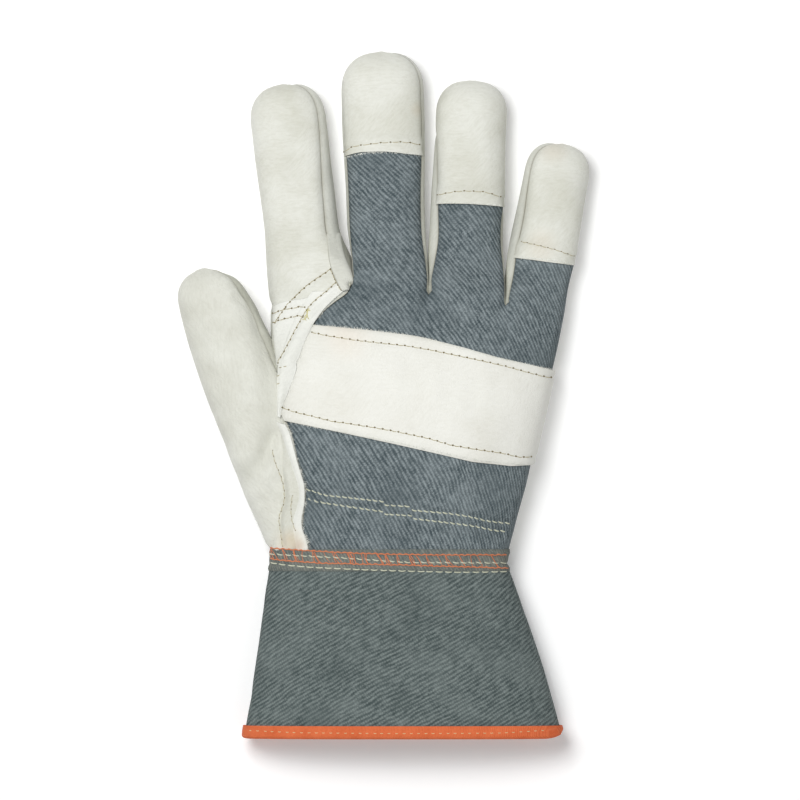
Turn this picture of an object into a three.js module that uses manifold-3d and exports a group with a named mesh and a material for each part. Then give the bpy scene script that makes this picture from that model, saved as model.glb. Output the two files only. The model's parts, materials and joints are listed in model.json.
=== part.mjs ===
// Leather fitter glove for the right hand, lying on its palm.
// Millimetres, +Z up. Fingers point along +Y, the thumb lies towards -X.
// While it is built, the wrist seam is at y = 0 and its middle at x = 0.

import * as THREE from 'three';
import Module from 'manifold-3d';

const wasm = await Module();
wasm.setup();

// Hand: lengths and widths of the glove body
const palmLength = 106; // wrist seam to the crotch between middle and ring finger
const wristWidth = 92.4;
const wristHeight = 33;
const palmHeight = 36;
const knuckleHeight = 28;
const knuckleShift = 12.3; // middle of the knuckles, towards the little finger
const edgeBulge = 0.8; // belly of the little finger's side

// Cuff
const cuffLength = 68.6; // wrist seam to the bound edge
const cuffWidth = 124.6;
const cuffHeight = 35;
const cuffShift = 5.9; // middle of the mouth, towards the little finger
const cornerRise = 4; // rounded corner of the mouth, on the little finger's side
const cornerRun = 10;

// Walls and layers
const leatherWall = 1.2;
const clothWall = 1.0;
const cuffWall = 1.6;
const tapeWall = 0.9;
const seamGap = 0.3; // between neighbouring pieces and between layers

// Trim
const strapWidth = 38;
const strapHeight = 38; // wrist seam to the strap, at the little finger's side
const strapTilt = 18; // how much higher the strap sits at the index finger
const strapRise = 4.2; // how far its upper edge bows up between its ends
const strapSag = 1.4; // how far its lower edge bows down
const capLap = 4.7; // finger tip leather over the cloth
const bindingWidth = 5.6;
const bandWidth = 7.0;
const bandAbove = 4.0; // part of the wrist band that lies on the hand
const wristRun = 12; // the wrist is held off the floor by its band over this length, and then comes down

// Thumb
const thumbReach = 36.4; // side of the hand to the thumb's outermost point
const thumbLength = 110; // root at the wrist to the tip, along the hand
const thumbRoot = 5; // wrist seam to the thumb's root
const thumbThick = 25;
const thumbCentre = 14.5; // height of the thumb's middle above the floor

// Fingers: widths at the base, the middle and near the end; shift of the finger's axis and its lean in
// degrees, both towards the little finger; the seams of the back, as shares of the half width at the base
// and at the end; where the tip leather starts, as a share of length
const fingers = [
  { name: 'index', base: 31.8, middle: 29.1, end: 29.6, length: 82.3, thick: 21.5, shift: -0.6, lean: -6.9,
    seamLeft: [-0.96, -0.98], seamRight: [0.6, 0.84], cap: 0.5 },
  { name: 'middle', base: 30.7, middle: 30.7, end: 32.6, length: 92.8, thick: 22, shift: -1.0, lean: -1.6,
    seamLeft: [-0.86, -0.99], seamRight: [0.93, 0.97], cap: 0.561 },
  { name: 'ring', base: 31.0, middle: 29.0, end: 27.9, length: 85.7, thick: 21, shift: -1.7, lean: 2.6,
    seamLeft: [-0.7, -0.86], seamRight: [0.97, 0.98], cap: 0.43 },
  { name: 'little', base: 24.0, middle: 27.0, end: 25.6, length: 64.4, thick: 19.5, shift: -1.4, lean: 10.6,
    seamLeft: [-0.72, -0.72], seamRight: [0.98, 0.98], cap: 0.252 },
];

// Crotch line from the thumb's side to the little finger's, as shares of the palm's length
const crotchLine = [0.957, 1.053, 1.0, 0.96, 0.925];

// Edge of the side leather on the back: share of the hand's length, share of the index finger's base
const leatherLine = [
  { at: 0.0, inset: 0.62 },
  { at: 0.13, inset: 0.58 },
  { at: 0.22, inset: 0.6 },
  { at: 0.33, inset: 0.45 },
  { at: 0.43, inset: 0.34 },
  { at: 0.52, inset: 0.21 },
  { at: 0.7, inset: 0.33 },
  { at: 0.86, inset: 0.51 },
  { at: 1.0, inset: 1.0 },
];

// Thumb sections from the root to the tip: outer and inner edge as shares of reach and length
const thumbSections = [
  { outerOut: 0.0, outerUp: 0.0, innerOut: -0.34, innerUp: 0.16, thick: 0.66 },
  { outerOut: 0.14, outerUp: 0.1, innerOut: -0.34, innerUp: 0.28, thick: 0.86 },
  { outerOut: 0.31, outerUp: 0.23, innerOut: -0.32, innerUp: 0.4, thick: 0.98 },
  { outerOut: 0.52, outerUp: 0.4, innerOut: -0.28, innerUp: 0.51, thick: 1.0 },
  { outerOut: 0.71, outerUp: 0.57, innerOut: -0.16, innerUp: 0.62, thick: 0.96 },
  { outerOut: 0.87, outerUp: 0.72, innerOut: 0.02, innerUp: 0.745, thick: 0.9 },
  { outerOut: 0.97, outerUp: 0.84, innerOut: 0.17, innerUp: 0.86, thick: 0.85 },
  { outerOut: 0.99, outerUp: 0.91, innerOut: 0.26, innerUp: 0.92, thick: 0.76 },
  { outerOut: 0.92, outerUp: 0.963, innerOut: 0.36, innerUp: 0.967, thick: 0.56 },
  { outerOut: 0.8, outerUp: 0.992, innerOut: 0.5, innerUp: 0.994, thick: 0.3 },
];

// Section form: exponents of the rounded sections and where they turn
const crownPower = 2.5; // back of the hand and fingers
const solePower = 2.9; // palm side
const crownShare = 0.58; // part of a section's height above its widest line
const soleShare = 0.88; // half width of the palm, as a share
const solePress = 1.07; // how far the palm side is pressed flat on the floor
const tipPower = 2.4; // roundness of a finger's end in plan
const valleyDepth = 1.6; // dip of the back between two fingers
const blendShare = 0.3; // part of a finger's length over which it turns round
const crownTurn = 0.45; // part of the palm's length up to its highest line
const fingerCrown = 0.52; // part of a finger's height above its widest line
const fingerTurn = 0.35; // part of a finger's length from its base width to its middle width
const fingerTaper = 0.4; // and from there to its end width
const domeTurn = 0.9; // part of the quarter turn that the rows of a finger's end go through
const domeBulge = 0.012; // rise of the closed end past its last row, as a share of the end's width
const thumbOuter = 0.86; // turn of the thumb's outer seams, in half turns from its inner side
const thumbInner = 0.16; // turn of the gusset's seams
const thumbSole = 0.14;
const notchPull = 0.3; // inward pulls that cancel to less than this mark a notch
const leatherEdge = 0.1; // about where the side leather ends on the back, as a share of the hand's width

// Mesh steps
const acrossFinger = 5;
const acrossSide = 3;
const handSteps = { low: 5, strap: 3, knuckle: 2 };
const fingerSteps = { low: 4, lap: 1, high: 3, dome: 3 };
const cuffSteps = 4;
const thumbSides = { back: 5, inner: 2, palm: 5, outer: 2 };

// Colours
const finishes = {
  leather: { color: 0xe6e6dc, roughness: 0.62 },
  shade: { color: 0xdedfd3, roughness: 0.66 },
  strap: { color: 0xeeede6, roughness: 0.6 },
  cloth: { color: 0x707c7e, roughness: 0.92 },
  cuff: { color: 0x73807f, roughness: 0.88 },
  tape: { color: 0xd8714b, roughness: 0.8 },
  band: { color: 0xb9a184, roughness: 0.85 },
};

const lerp = (a, b, t) => a + (b - a) * t;
const clamp = (value, low, high) => Math.min(high, Math.max(low, value));
const radians = (degrees) => (degrees * Math.PI) / 180;

function smooth(t) {
  const c = clamp(t, 0, 1);
  return c * c * (3 - 2 * c);
}

// Signed power, for rounded rectangles
function bend(value, power) {
  return Math.sign(value) * Math.abs(value) ** power;
}

// Smooth reading of one column of a table at a place in another column
function read(table, key, column, place) {
  const last = table.length - 1;
  let i = 0;
  while (i < last - 1 && place > table[i + 1][key]) {
    i += 1;
  }
  const from = table[i];
  const to = table[i + 1];
  const before = table[Math.max(0, i - 1)];
  const after = table[Math.min(last, i + 2)];
  const span = to[key] - from[key];
  const t = clamp((place - from[key]) / span, 0, 1);
  const startSlope = ((to[column] - before[column]) / (to[key] - before[key])) * span;
  const endSlope = ((after[column] - from[column]) / (after[key] - from[key])) * span;
  const t2 = t * t;
  const t3 = t2 * t;
  return (2 * t3 - 3 * t2 + 1) * from[column] + (t3 - 2 * t2 + t) * startSlope
    + (3 * t2 - 2 * t3) * to[column] + (t3 - t2) * endSlope;
}

// A surface of quads that pieces are cut from
class Surface {
  constructor() {
    this.points = [];
    this.faces = [];
  }

  add(point) {
    this.points.push(point);
    return this.points.length - 1;
  }

  quad(a, b, c, d, label) {
    this.faces.push({ corners: [a, b, c, d], label });
  }

  labelled(labels) {
    return this.faces.filter((face) => labels.includes(face.label));
  }

  faceNormal(face) {
    const [a, b, c, d] = face.corners.map((i) => this.points[i]);
    const across = new THREE.Vector3().subVectors(c, a);
    const other = new THREE.Vector3().subVectors(d, b);
    return across.cross(other);
  }

  // Normals of all points, weighted by the area of the faces around each
  normals() {
    const sums = this.points.map(() => new THREE.Vector3());
    for (const face of this.faces) {
      const normal = this.faceNormal(face);
      for (const corner of face.corners) {
        sums[corner].add(normal);
      }
    }
    return sums.map((sum) => sum.normalize());
  }

  // Closed solid over some faces, between two offsets from the surface, with its border drawn in.
  // Nothing reaches below the floor, at z = 0.
  thicken(faces, outer, inner, border = seamGap / 2) {
    const normals = this.normals();
    const drawn = this.borderShift(faces, border, normals);
    const used = [...new Set(faces.flatMap((face) => face.corners))];
    const slot = new Map(used.map((vertex, i) => [vertex, i]));
    const vertices = [];
    for (const offset of [outer, inner]) {
      for (const vertex of used) {
        const point = this.points[vertex].clone();
        point.addScaledVector(normals[vertex], offset(vertex));
        point.add(drawn.get(vertex) ?? new THREE.Vector3());
        vertices.push(point.x, point.y, Math.max(point.z, 0));
      }
    }
    const triangles = [];
    const skin = (a, b, c, d) => triangles.push(a, b, c, a, c, d);
    for (const face of faces) {
      const [a, b, c, d] = face.corners.map((vertex) => slot.get(vertex));
      const n = used.length;
      skin(a, b, c, d);
      skin(d + n, c + n, b + n, a + n);
    }
    for (const [from, to] of borderEdges(faces)) {
      const a = slot.get(from);
      const b = slot.get(to);
      skin(b, a, a + used.length, b + used.length);
    }
    return { vertices, triangles };
  }

  // Shift of each border point into its piece, so that neighbours keep a gap.
  // At a notch the two pulls cancel, and the point is drawn back along the notch.
  borderShift(faces, border, normals) {
    const pulls = new Map();
    const pull = (vertex) => {
      if (!pulls.has(vertex)) {
        pulls.set(vertex, { inward: new THREE.Vector3(), back: new THREE.Vector3() });
      }
      return pulls.get(vertex);
    };
    for (const [from, to, face] of borderEdges(faces)) {
      const along = new THREE.Vector3().subVectors(this.points[to], this.points[from]).normalize();
      const inward = this.faceNormal(face).normalize().cross(along);
      pull(from).inward.add(inward);
      pull(to).inward.add(inward);
      pull(from).back.sub(along);
      pull(to).back.add(along);
    }
    const result = new Map();
    for (const [vertex, { inward, back }] of pulls) {
      const notch = inward.length() < notchPull;
      const reach = notch ? 2 : Math.min(2 / inward.length(), 2);
      const way = (notch ? back : inward).projectOnPlane(normals[vertex]);
      result.set(vertex, way.normalize().multiplyScalar(reach * border));
    }
    return result;
  }
}

// Edges that only one face of a set uses
function borderEdges(faces) {
  const edges = new Map();
  for (const face of faces) {
    face.corners.forEach((from, i) => {
      const to = face.corners[(i + 1) % face.corners.length];
      edges.set(`${from}-${to}`, [from, to, face]);
    });
  }
  return [...edges.values()].filter(([from, to]) => !edges.has(`${to}-${from}`));
}

// Places of the hand's length lines: crotches and side edges
const knuckleWidth = fingers.reduce((sum, finger) => sum + finger.base, 0);
const baseShares = [0];
for (const finger of fingers) {
  baseShares.push(baseShares[baseShares.length - 1] + finger.base / knuckleWidth);
}

// Sizes of the hand's section at a height above the wrist, or of the cuff's below it
function handSection(y) {
  const at = y / palmLength;
  if (at < 0) {
    const down = clamp(-y / cuffLength, 0, 1);
    const width = lerp(wristWidth, cuffWidth, down);
    const middle = lerp(0, cuffShift, down);
    return {
      left: middle - width / 2,
      right: middle + width / 2,
      height: lerp(wristHeight, cuffHeight, smooth(down)),
      floor: seamGap + tapeWall,
    };
  }
  const middle = knuckleShift * at;
  const width = lerp(wristWidth, knuckleWidth, at);
  const low = lerp(wristHeight, palmHeight, smooth(at / crownTurn));
  const high = lerp(palmHeight, knuckleHeight, smooth((at - crownTurn) / (1 - crownTurn)));
  return {
    left: middle - width / 2,
    right: middle + width / 2 + edgeBulge * Math.sin(Math.PI * clamp(at, 0, 1)),
    height: at < crownTurn ? low : high,
    floor: (seamGap + tapeWall) * (1 - smooth((y - wristRun) / wristRun)),
  };
}

// Height of the back and of the palm side over a section, at a share of its half width
function crown(section, u) {
  const middle = section.height * (1 - crownShare);
  return middle + section.height * crownShare * (1 - Math.abs(u) ** crownPower) ** (1 / crownPower);
}

function sole(section, u) {
  const middle = section.height * (1 - crownShare);
  const drop = middle * solePress * (1 - Math.abs(u) ** solePower) ** (1 / solePower);
  return Math.max(middle - drop, section.floor);
}

// Height of a length row above the wrist, at a share of the hand's width
function strapLine(share, bow) {
  return strapHeight + strapTilt * (1 - share) + bow * Math.sin(Math.PI * clamp(share, 0, 1));
}

function crotchAt(place) {
  const i = Math.min(Math.floor(place), fingers.length - 1);
  return palmLength * lerp(crotchLine[i], crotchLine[i + 1], place - i);
}

// One row: its band and how far it lies through that band
function rowHeight(row, share, place) {
  if (row.band === 'cuff') {
    const corner = cornerRise * smooth((share - 1 + cornerRun / cuffWidth) * (cuffWidth / cornerRun));
    return -lerp(0, cuffLength - corner - tapeWall - seamGap, row.through);
  }
  const strapLow = strapLine(share, -strapSag);
  const strapTop = strapLine(share, strapRise) + strapWidth;
  const lines = {
    low: [0, strapLow],
    strap: [strapLow, strapTop],
    knuckle: [strapTop, crotchAt(place)],
  };
  const [from, to] = lines[row.band];
  return lerp(from, to, row.through);
}

// Places across the hand of the lines between the fingers, as shares of its width
function lineShares(heightShare, onBack) {
  if (!onBack) {
    return baseShares;
  }
  const inset = read(leatherLine, 'at', 'inset', clamp(heightShare, 0, 1)) * baseShares[1];
  return baseShares.map((share) => {
    const spread = (share - baseShares[1]) / (1 - baseShares[1]);
    return share < baseShares[1] ? share : lerp(inset, 1, spread);
  });
}

// Closed ring of points round the hand or the cuff
function handRing(row) {
  const columns = fingers.length * acrossFinger;
  const ring = [];
  const leatherAt = rowHeight(row, leatherEdge, 1) / palmLength;
  const place = (column, onBack) => {
    const shares = lineShares(leatherAt, onBack);
    const i = Math.min(Math.floor(column / acrossFinger), fingers.length - 1);
    return lerp(shares[i], shares[i + 1], column / acrossFinger - i);
  };
  const columnPoint = (column, onBack) => {
    const share = place(column, onBack);
    const y = rowHeight(row, share, column / acrossFinger);
    const section = handSection(y);
    const reach = onBack ? 1 : soleShare;
    const u = clamp((2 * share - 1) * reach, -1, 1);
    const x = lerp(section.left, section.right, (u + 1) / 2);
    const nearest = Math.round(column / acrossFinger) === column / acrossFinger;
    const inner = nearest && column > acrossFinger && column < columns;
    const ripple = row.band === 'knuckle' && onBack && inner ? valleyDepth * row.through : 0;
    return new THREE.Vector3(x, y, (onBack ? crown(section, u) - ripple : sole(section, u)));
  };
  const sidePoint = (side, step) => {
    const share = side > 0 ? 1 : 0;
    const y = rowHeight(row, share, side > 0 ? fingers.length : 0);
    const section = handSection(y);
    const end = Math.acos(soleShare ** (solePower / 2));
    const angle = (end * step) / acrossSide;
    const u = side * Math.cos(angle) ** (2 / solePower);
    return new THREE.Vector3(lerp(section.left, section.right, (u + 1) / 2), y, sole(section, u));
  };
  for (let column = 0; column <= columns; column += 1) {
    ring.push(columnPoint(column, true));
  }
  for (let step = 1; step < acrossSide; step += 1) {
    ring.push(sidePoint(1, step));
  }
  for (let column = columns; column >= 0; column -= 1) {
    ring.push(columnPoint(column, false));
  }
  for (let step = acrossSide - 1; step > 0; step -= 1) {
    ring.push(sidePoint(-1, step));
  }
  return ring;
}

// Ring round a finger at a distance from its base, on its straight axis
function fingerRing(finger, base, distance) {
  const share = distance / finger.length;
  const dome = finger.end / 2;
  const left = clamp((finger.length - distance) / dome, 0, 1);
  const round = (1 - (1 - left) ** tipPower) ** (1 / tipPower);
  const early = lerp(finger.base, finger.middle, smooth(share / fingerTurn));
  const late = lerp(finger.middle, finger.end, smooth((share - fingerTurn) / fingerTaper));
  const halfWidth = ((share < fingerTurn ? early : late) / 2) * round;
  const middleHeight = finger.thick * (1 - fingerCrown);
  const up = finger.thick * fingerCrown * round;
  const down = middleHeight * solePress * round;
  const lean = radians(finger.lean);
  const centre = new THREE.Vector3(
    base.x + Math.sin(lean) * distance,
    base.y + Math.cos(lean) * distance,
    middleHeight,
  );
  const ring = [];
  const push = (angle) => {
    const upper = Math.sin(angle) >= 0;
    const power = upper ? crownPower : solePower;
    const x = halfWidth * bend(Math.cos(angle), 2 / power);
    const z = (upper ? up : down) * bend(Math.sin(angle), 2 / power);
    const point = new THREE.Vector3(Math.cos(lean) * x, -Math.sin(lean) * x, z).add(centre);
    point.z = Math.max(point.z, 0);
    ring.push(point);
  };
  const seam = ([atBase, atEnd]) => Math.acos(bend(lerp(atBase, atEnd, smooth(share)), crownPower / 2));
  const soleAngle = Math.acos(soleShare ** (solePower / 2));
  const corners = [
    { from: seam(finger.seamLeft), to: seam(finger.seamRight), steps: acrossFinger },
    { from: seam(finger.seamRight), to: -soleAngle, steps: acrossSide },
    { from: -soleAngle, to: soleAngle - Math.PI, steps: acrossFinger },
    { from: soleAngle - Math.PI, to: seam(finger.seamLeft) - 2 * Math.PI, steps: acrossSide },
  ];
  for (const { from, to, steps } of corners) {
    for (let step = 0; step < steps; step += 1) {
      push(lerp(from, to, step / steps));
    }
  }
  return ring;
}

// Distances of a finger's rows from its base
function fingerRows(finger) {
  const dome = finger.end / 2;
  const marks = [
    { from: 0, to: finger.cap * finger.length, steps: fingerSteps.low, part: 'low' },
    { from: finger.cap * finger.length, to: finger.cap * finger.length + capLap, steps: fingerSteps.lap,
      part: 'lap' },
    { from: finger.cap * finger.length + capLap, to: finger.length - dome, steps: fingerSteps.high,
      part: 'high' },
  ];
  const rows = [];
  for (const { from, to, steps, part } of marks) {
    for (let step = 1; step <= steps; step += 1) {
      rows.push({ distance: lerp(from, to, step / steps), part });
    }
  }
  for (let step = 1; step <= fingerSteps.dome; step += 1) {
    const angle = (domeTurn * Math.PI * step) / (2 * fingerSteps.dome);
    rows.push({ distance: finger.length - dome * (1 - Math.sin(angle)), part: 'high' });
  }
  return rows;
}

// Surface of the glove without its thumb and cuff
function bodySurface() {
  const surface = new Surface();
  const columns = fingers.length * acrossFinger;
  const bands = [
    ['low', handSteps.low],
    ['strap', handSteps.strap],
    ['knuckle', handSteps.knuckle],
  ];
  const rows = [{ band: 'low', through: 0 }];
  for (const [band, steps] of bands) {
    for (let step = 1; step <= steps; step += 1) {
      rows.push({ band, through: step / steps });
    }
  }
  const rings = rows.map((row) => handRing(row).map((point) => surface.add(point)));
  const size = rings[0].length;
  const palmStart = columns + acrossSide;
  for (let r = 0; r + 1 < rings.length; r += 1) {
    const { band } = rows[r + 1];
    for (let i = 0; i < size; i += 1) {
      const j = (i + 1) % size;
      let label = 'palm';
      if (i < columns) {
        label = i < acrossFinger ? `hem-${band}` : `cloth-${band}`;
      } else if (i < palmStart) {
        label = `side-${band}`;
      }
      surface.quad(rings[r][i], rings[r][j], rings[r + 1][j], rings[r + 1][i], label);
    }
  }
  const top = rings[rings.length - 1];
  const back = (column) => top[column];
  const palm = (column) => top[palmStart + columns - column];
  const saddles = fingers.map((finger, f) => saddle(surface, f, top, back, palm));
  saddles.push(sideOf(top, columns + 1));
  fingers.forEach((finger, f) => {
    addFinger(surface, finger, f, { back, palm, left: saddles[f], right: saddles[f + 1] });
  });
  return { surface, rings };
}

// Inner points of the little finger's side at the top of the hand, from back to palm
function sideOf(top, start) {
  return top.slice(start, start + acrossSide - 1);
}

// Inner points of the crotch on the thumb's side of a finger, from back to palm
function saddle(surface, f, top, back, palm) {
  if (f === 0) {
    return top.slice(1 - acrossSide).reverse();
  }
  const from = surface.points[back(f * acrossFinger)];
  const to = surface.points[palm(f * acrossFinger)];
  const points = [];
  for (let step = 1; step < acrossSide; step += 1) {
    points.push(surface.add(new THREE.Vector3().lerpVectors(from, to, step / acrossSide)));
  }
  return points;
}

function addFinger(surface, finger, f, edges) {
  const start = f * acrossFinger;
  const base = [];
  for (let k = 0; k < acrossFinger; k += 1) {
    base.push(edges.back(start + k));
  }
  base.push(edges.back(start + acrossFinger), ...edges.right);
  for (let k = 0; k < acrossFinger; k += 1) {
    base.push(edges.palm(start + acrossFinger - k));
  }
  base.push(edges.palm(start), ...[...edges.left].reverse());
  const left = surface.points[edges.back(start)];
  const right = surface.points[edges.back(start + acrossFinger)];
  const root = new THREE.Vector3().addVectors(left, right).multiplyScalar(0.5);
  root.x += finger.shift;
  const lean = radians(finger.lean);
  const axis = new THREE.Vector3(Math.sin(lean), Math.cos(lean), 0);
  let ring = base;
  for (const { distance, part } of fingerRows(finger)) {
    const round = smooth(distance / (blendShare * finger.length));
    const tube = fingerRing(finger, root, distance);
    const next = tube.map((point, i) => {
      const carried = surface.points[base[i]].clone().addScaledVector(axis, distance);
      return surface.add(carried.lerp(point, round));
    });
    for (let i = 0; i < ring.length; i += 1) {
      const j = (i + 1) % ring.length;
      surface.quad(ring[i], ring[j], next[j], next[i], fingerLabel(finger, i, part));
    }
    ring = next;
  }
  closeTip(surface, finger, ring, axis);
}

function fingerLabel(finger, i, part) {
  if (i < acrossFinger) {
    return `${finger.name}-back-${part}`;
  }
  if (i < acrossFinger + acrossSide) {
    return `${finger.name}-right`;
  }
  return i < 2 * acrossFinger + acrossSide ? 'palm' : `${finger.name}-left`;
}

// Grid of quads over the end of a finger
function closeTip(surface, finger, ring, axis) {
  const m = acrossFinger;
  const n = acrossSide;
  const size = ring.length;
  const grid = Array.from({ length: n + 1 }, () => new Array(m + 1));
  for (let k = 0; k <= m; k += 1) {
    grid[0][k] = ring[k];
    grid[n][k] = ring[2 * m + n - k];
  }
  for (let j = 1; j < n; j += 1) {
    grid[j][m] = ring[m + j];
    grid[j][0] = ring[size - j];
    for (let k = 1; k < m; k += 1) {
      const topToSole = new THREE.Vector3()
        .lerpVectors(surface.points[ring[k]], surface.points[ring[2 * m + n - k]], j / n);
      const bulge = domeBulge * finger.end * Math.sin((Math.PI * j) / n) * Math.sin((Math.PI * k) / m);
      grid[j][k] = surface.add(topToSole.addScaledVector(axis, bulge));
    }
  }
  for (let j = 0; j < n; j += 1) {
    for (let k = 0; k < m; k += 1) {
      surface.quad(grid[j][k], grid[j][k + 1], grid[j + 1][k + 1], grid[j + 1][k], `${finger.name}-end`);
    }
  }
}

// Points of a label's faces, as a set
function pointsOf(surface, labels) {
  return new Set(surface.labelled(labels).flatMap((face) => face.corners));
}

// Cuff surface from the wrist seam to the mouth, with the wrist band's rows on both sides of the seam
function cuffSurface() {
  const surface = new Surface();
  const bindingShare = 1 - bindingWidth / cuffLength;
  const bandShare = (bandWidth - bandAbove) / cuffLength;
  const throughs = [1, bindingShare];
  for (let step = 1; step < cuffSteps; step += 1) {
    throughs.push(lerp(bindingShare, bandShare, step / cuffSteps));
  }
  throughs.push(bandShare, 0);
  const rings = throughs.map((through) => {
    const ring = handRing({ band: 'cuff', through });
    return ring.map((point) => surface.add(point));
  });
  const seam = handRing({ band: 'low', through: 0 });
  const firstRow = handRing({ band: 'low', through: 1 / handSteps.low });
  const above = seam.map((point, i) => {
    const share = bandAbove / (firstRow[i].y - point.y);
    return surface.add(point.clone().lerp(firstRow[i], share));
  });
  rings.push(above);
  rings.forEach((ring, r) => {
    if (r + 1 === rings.length) {
      return;
    }
    for (let i = 0; i < ring.length; i += 1) {
      const j = (i + 1) % ring.length;
      const label = r + 2 === rings.length ? 'above' : `cuff-${r + 3 === rings.length ? 'band' : 'plain'}`;
      surface.quad(ring[i], ring[j], rings[r + 1][j], rings[r + 1][i], label);
    }
  });
  return { surface, rings };
}

// Tape folded round the mouth: one closed section carried round the rim
function bindingSolid(surface, rings) {
  const normals = surface.normals();
  const outerFace = seamGap;
  const innerFace = -cuffWall - seamGap;
  const away = (offset, beyond) => ({ ring: 0, offset, beyond });
  const wrapped = (offset) => ({ ring: 1, offset, beyond: 0 });
  const section = [
    wrapped(outerFace + tapeWall),
    away(outerFace + tapeWall, 0.5 * tapeWall),
    away(0.5 * (outerFace + innerFace), seamGap + tapeWall),
    away(innerFace - tapeWall, 0.5 * tapeWall),
    wrapped(innerFace - tapeWall),
    wrapped(innerFace),
    away(innerFace, seamGap),
    away(outerFace, seamGap),
    wrapped(outerFace),
  ];
  const count = rings[0].length;
  const vertices = [];
  for (let i = 0; i < count; i += 1) {
    for (const { ring, offset, beyond } of section) {
      const vertex = rings[ring][i];
      const point = surface.points[vertex].clone().addScaledVector(normals[rings[0][i]], offset);
      point.y -= beyond;
      vertices.push(point.x, point.y, point.z);
    }
  }
  const triangles = [];
  for (let i = 0; i < count; i += 1) {
    for (let k = 0; k < section.length; k += 1) {
      const j = (i + 1) % count;
      const l = (k + 1) % section.length;
      const a = i * section.length + k;
      const b = j * section.length + k;
      const c = j * section.length + l;
      const d = i * section.length + l;
      triangles.push(a, d, c, a, c, b);
    }
  }
  return { vertices, triangles };
}

// Thumb surface: rounded sections fanned from the side of the hand
function thumbSurface() {
  const surface = new Surface();
  const side = handSection(thumbRoot + thumbLength / 2).left;
  const sides = [
    { from: thumbOuter, to: thumbInner, steps: thumbSides.back, label: 'thumb' },
    { from: thumbInner, to: -thumbSole, steps: thumbSides.inner, label: 'gusset' },
    { from: -thumbSole, to: -thumbOuter, steps: thumbSides.palm, label: 'thumb' },
    { from: -thumbOuter, to: thumbOuter - 2, steps: thumbSides.outer, label: 'thumb' },
  ];
  const rings = thumbSections.map((section) => {
    const outer = new THREE.Vector3(side - section.outerOut * thumbReach,
      thumbRoot + section.outerUp * thumbLength, thumbCentre);
    const inner = new THREE.Vector3(side - section.innerOut * thumbReach,
      thumbRoot + section.innerUp * thumbLength, thumbCentre);
    const centre = new THREE.Vector3().addVectors(outer, inner).multiplyScalar(0.5);
    const half = new THREE.Vector3().subVectors(inner, outer).multiplyScalar(0.5);
    const ring = [];
    for (const { from, to, steps, label } of sides) {
      for (let step = 0; step < steps; step += 1) {
        const angle = Math.PI * lerp(from, to, step / steps);
        const point = centre.clone().addScaledVector(half, bend(Math.cos(angle), 2 / crownPower));
        point.z += 0.5 * thumbThick * section.thick * bend(Math.sin(angle), 2 / crownPower);
        ring.push({ index: surface.add(point), label });
      }
    }
    return ring;
  });
  for (let r = 0; r + 1 < rings.length; r += 1) {
    rings[r].forEach(({ index, label }, i) => {
      const j = (i + 1) % rings[r].length;
      surface.quad(index, rings[r][j].index, rings[r + 1][j].index, rings[r + 1][i].index, label);
    });
  }
  const last = rings[rings.length - 1];
  const first = rings[0];
  fan(surface, last.map((corner) => corner.index), 'thumb');
  return { surface, root: first.map((corner) => corner.index) };
}

// Quads that close an even ring by pairing its points
function fan(surface, ring, label) {
  const count = ring.length;
  for (let i = 0; i < count / 2 - 1; i += 1) {
    surface.quad(ring[i], ring[i + 1], ring[count - 2 - i], ring[count - 1 - i], label);
  }
}

// Solid block bounded by a surface at one offset and closed flat at its open ring
function filled(surface, offset, openRing) {
  const normals = surface.normals();
  const vertices = surface.points.flatMap((point, i) => {
    const moved = point.clone().addScaledVector(normals[i], offset);
    return [moved.x, moved.y, moved.z];
  });
  const triangles = surface.faces.flatMap(({ corners: [a, b, c, d] }) => [a, b, c, a, c, d]);
  for (let i = 1; i + 1 < openRing.length; i += 1) {
    triangles.push(openRing[0], openRing[i + 1], openRing[i]);
  }
  return { vertices, triangles };
}

function toManifold({ vertices, triangles }) {
  return new wasm.Manifold(new wasm.Mesh({
    numProp: 3,
    vertProperties: Float32Array.from(vertices),
    triVerts: Uint32Array.from(triangles),
  }));
}

// Largest body of a cut piece
function mainBody(manifold) {
  const bodies = manifold.decompose();
  bodies.sort((a, b) => b.volume() - a.volume());
  const mesh = bodies[0].getMesh();
  return { vertices: Array.from(mesh.vertProperties), triangles: Array.from(mesh.triVerts) };
}

function toMesh(name, finish, { vertices, triangles }) {
  const geometry = new THREE.BufferGeometry();
  geometry.setAttribute('position', new THREE.Float32BufferAttribute(vertices, 3));
  geometry.setIndex(triangles);
  const look = finishes[finish];
  const material = new THREE.MeshStandardMaterial({ ...look, metalness: 0 });
  const mesh = new THREE.Mesh(geometry, material);
  mesh.name = name;
  return mesh;
}

const body = bodySurface();
const cuff = cuffSurface();
const thumb = thumbSurface();
const skin = () => 0;
const below = (wall) => () => -wall;

// A piece in the glove's base layer
function panel(labels, wall) {
  return body.surface.thicken(body.surface.labelled(labels), skin, below(wall));
}

// The same piece grown by the gap on all sides, to keep a neighbour clear of it
function grownPanel(labels, wall) {
  const faces = body.surface.labelled(labels);
  return toManifold(body.surface.thicken(faces, () => seamGap, () => -wall - seamGap, -seamGap));
}

// Finger tip leather: its hem lies on the cloth, the rest is level with the side strips
function tipCap(finger) {
  const labels = [`${finger.name}-back-lap`, `${finger.name}-back-high`, `${finger.name}-end`];
  const hem = pointsOf(body.surface, [labels[0]]);
  const lift = (vertex) => (hem.has(vertex) ? seamGap + leatherWall : 0);
  return body.surface.thicken(body.surface.labelled(labels), lift, (vertex) => lift(vertex) - leatherWall);
}

// A piece that lies on the base layer
function overlay(surface, labels, wall) {
  return surface.thicken(surface.labelled(labels), () => seamGap + wall, () => seamGap);
}

const thumbHollow = toManifold(filled(thumb.surface, -leatherWall, thumb.root));
// The whole hand and its fingers, grown by a gap
const handBlock = toManifold(filled(body.surface, seamGap, body.rings[0]));

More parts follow.
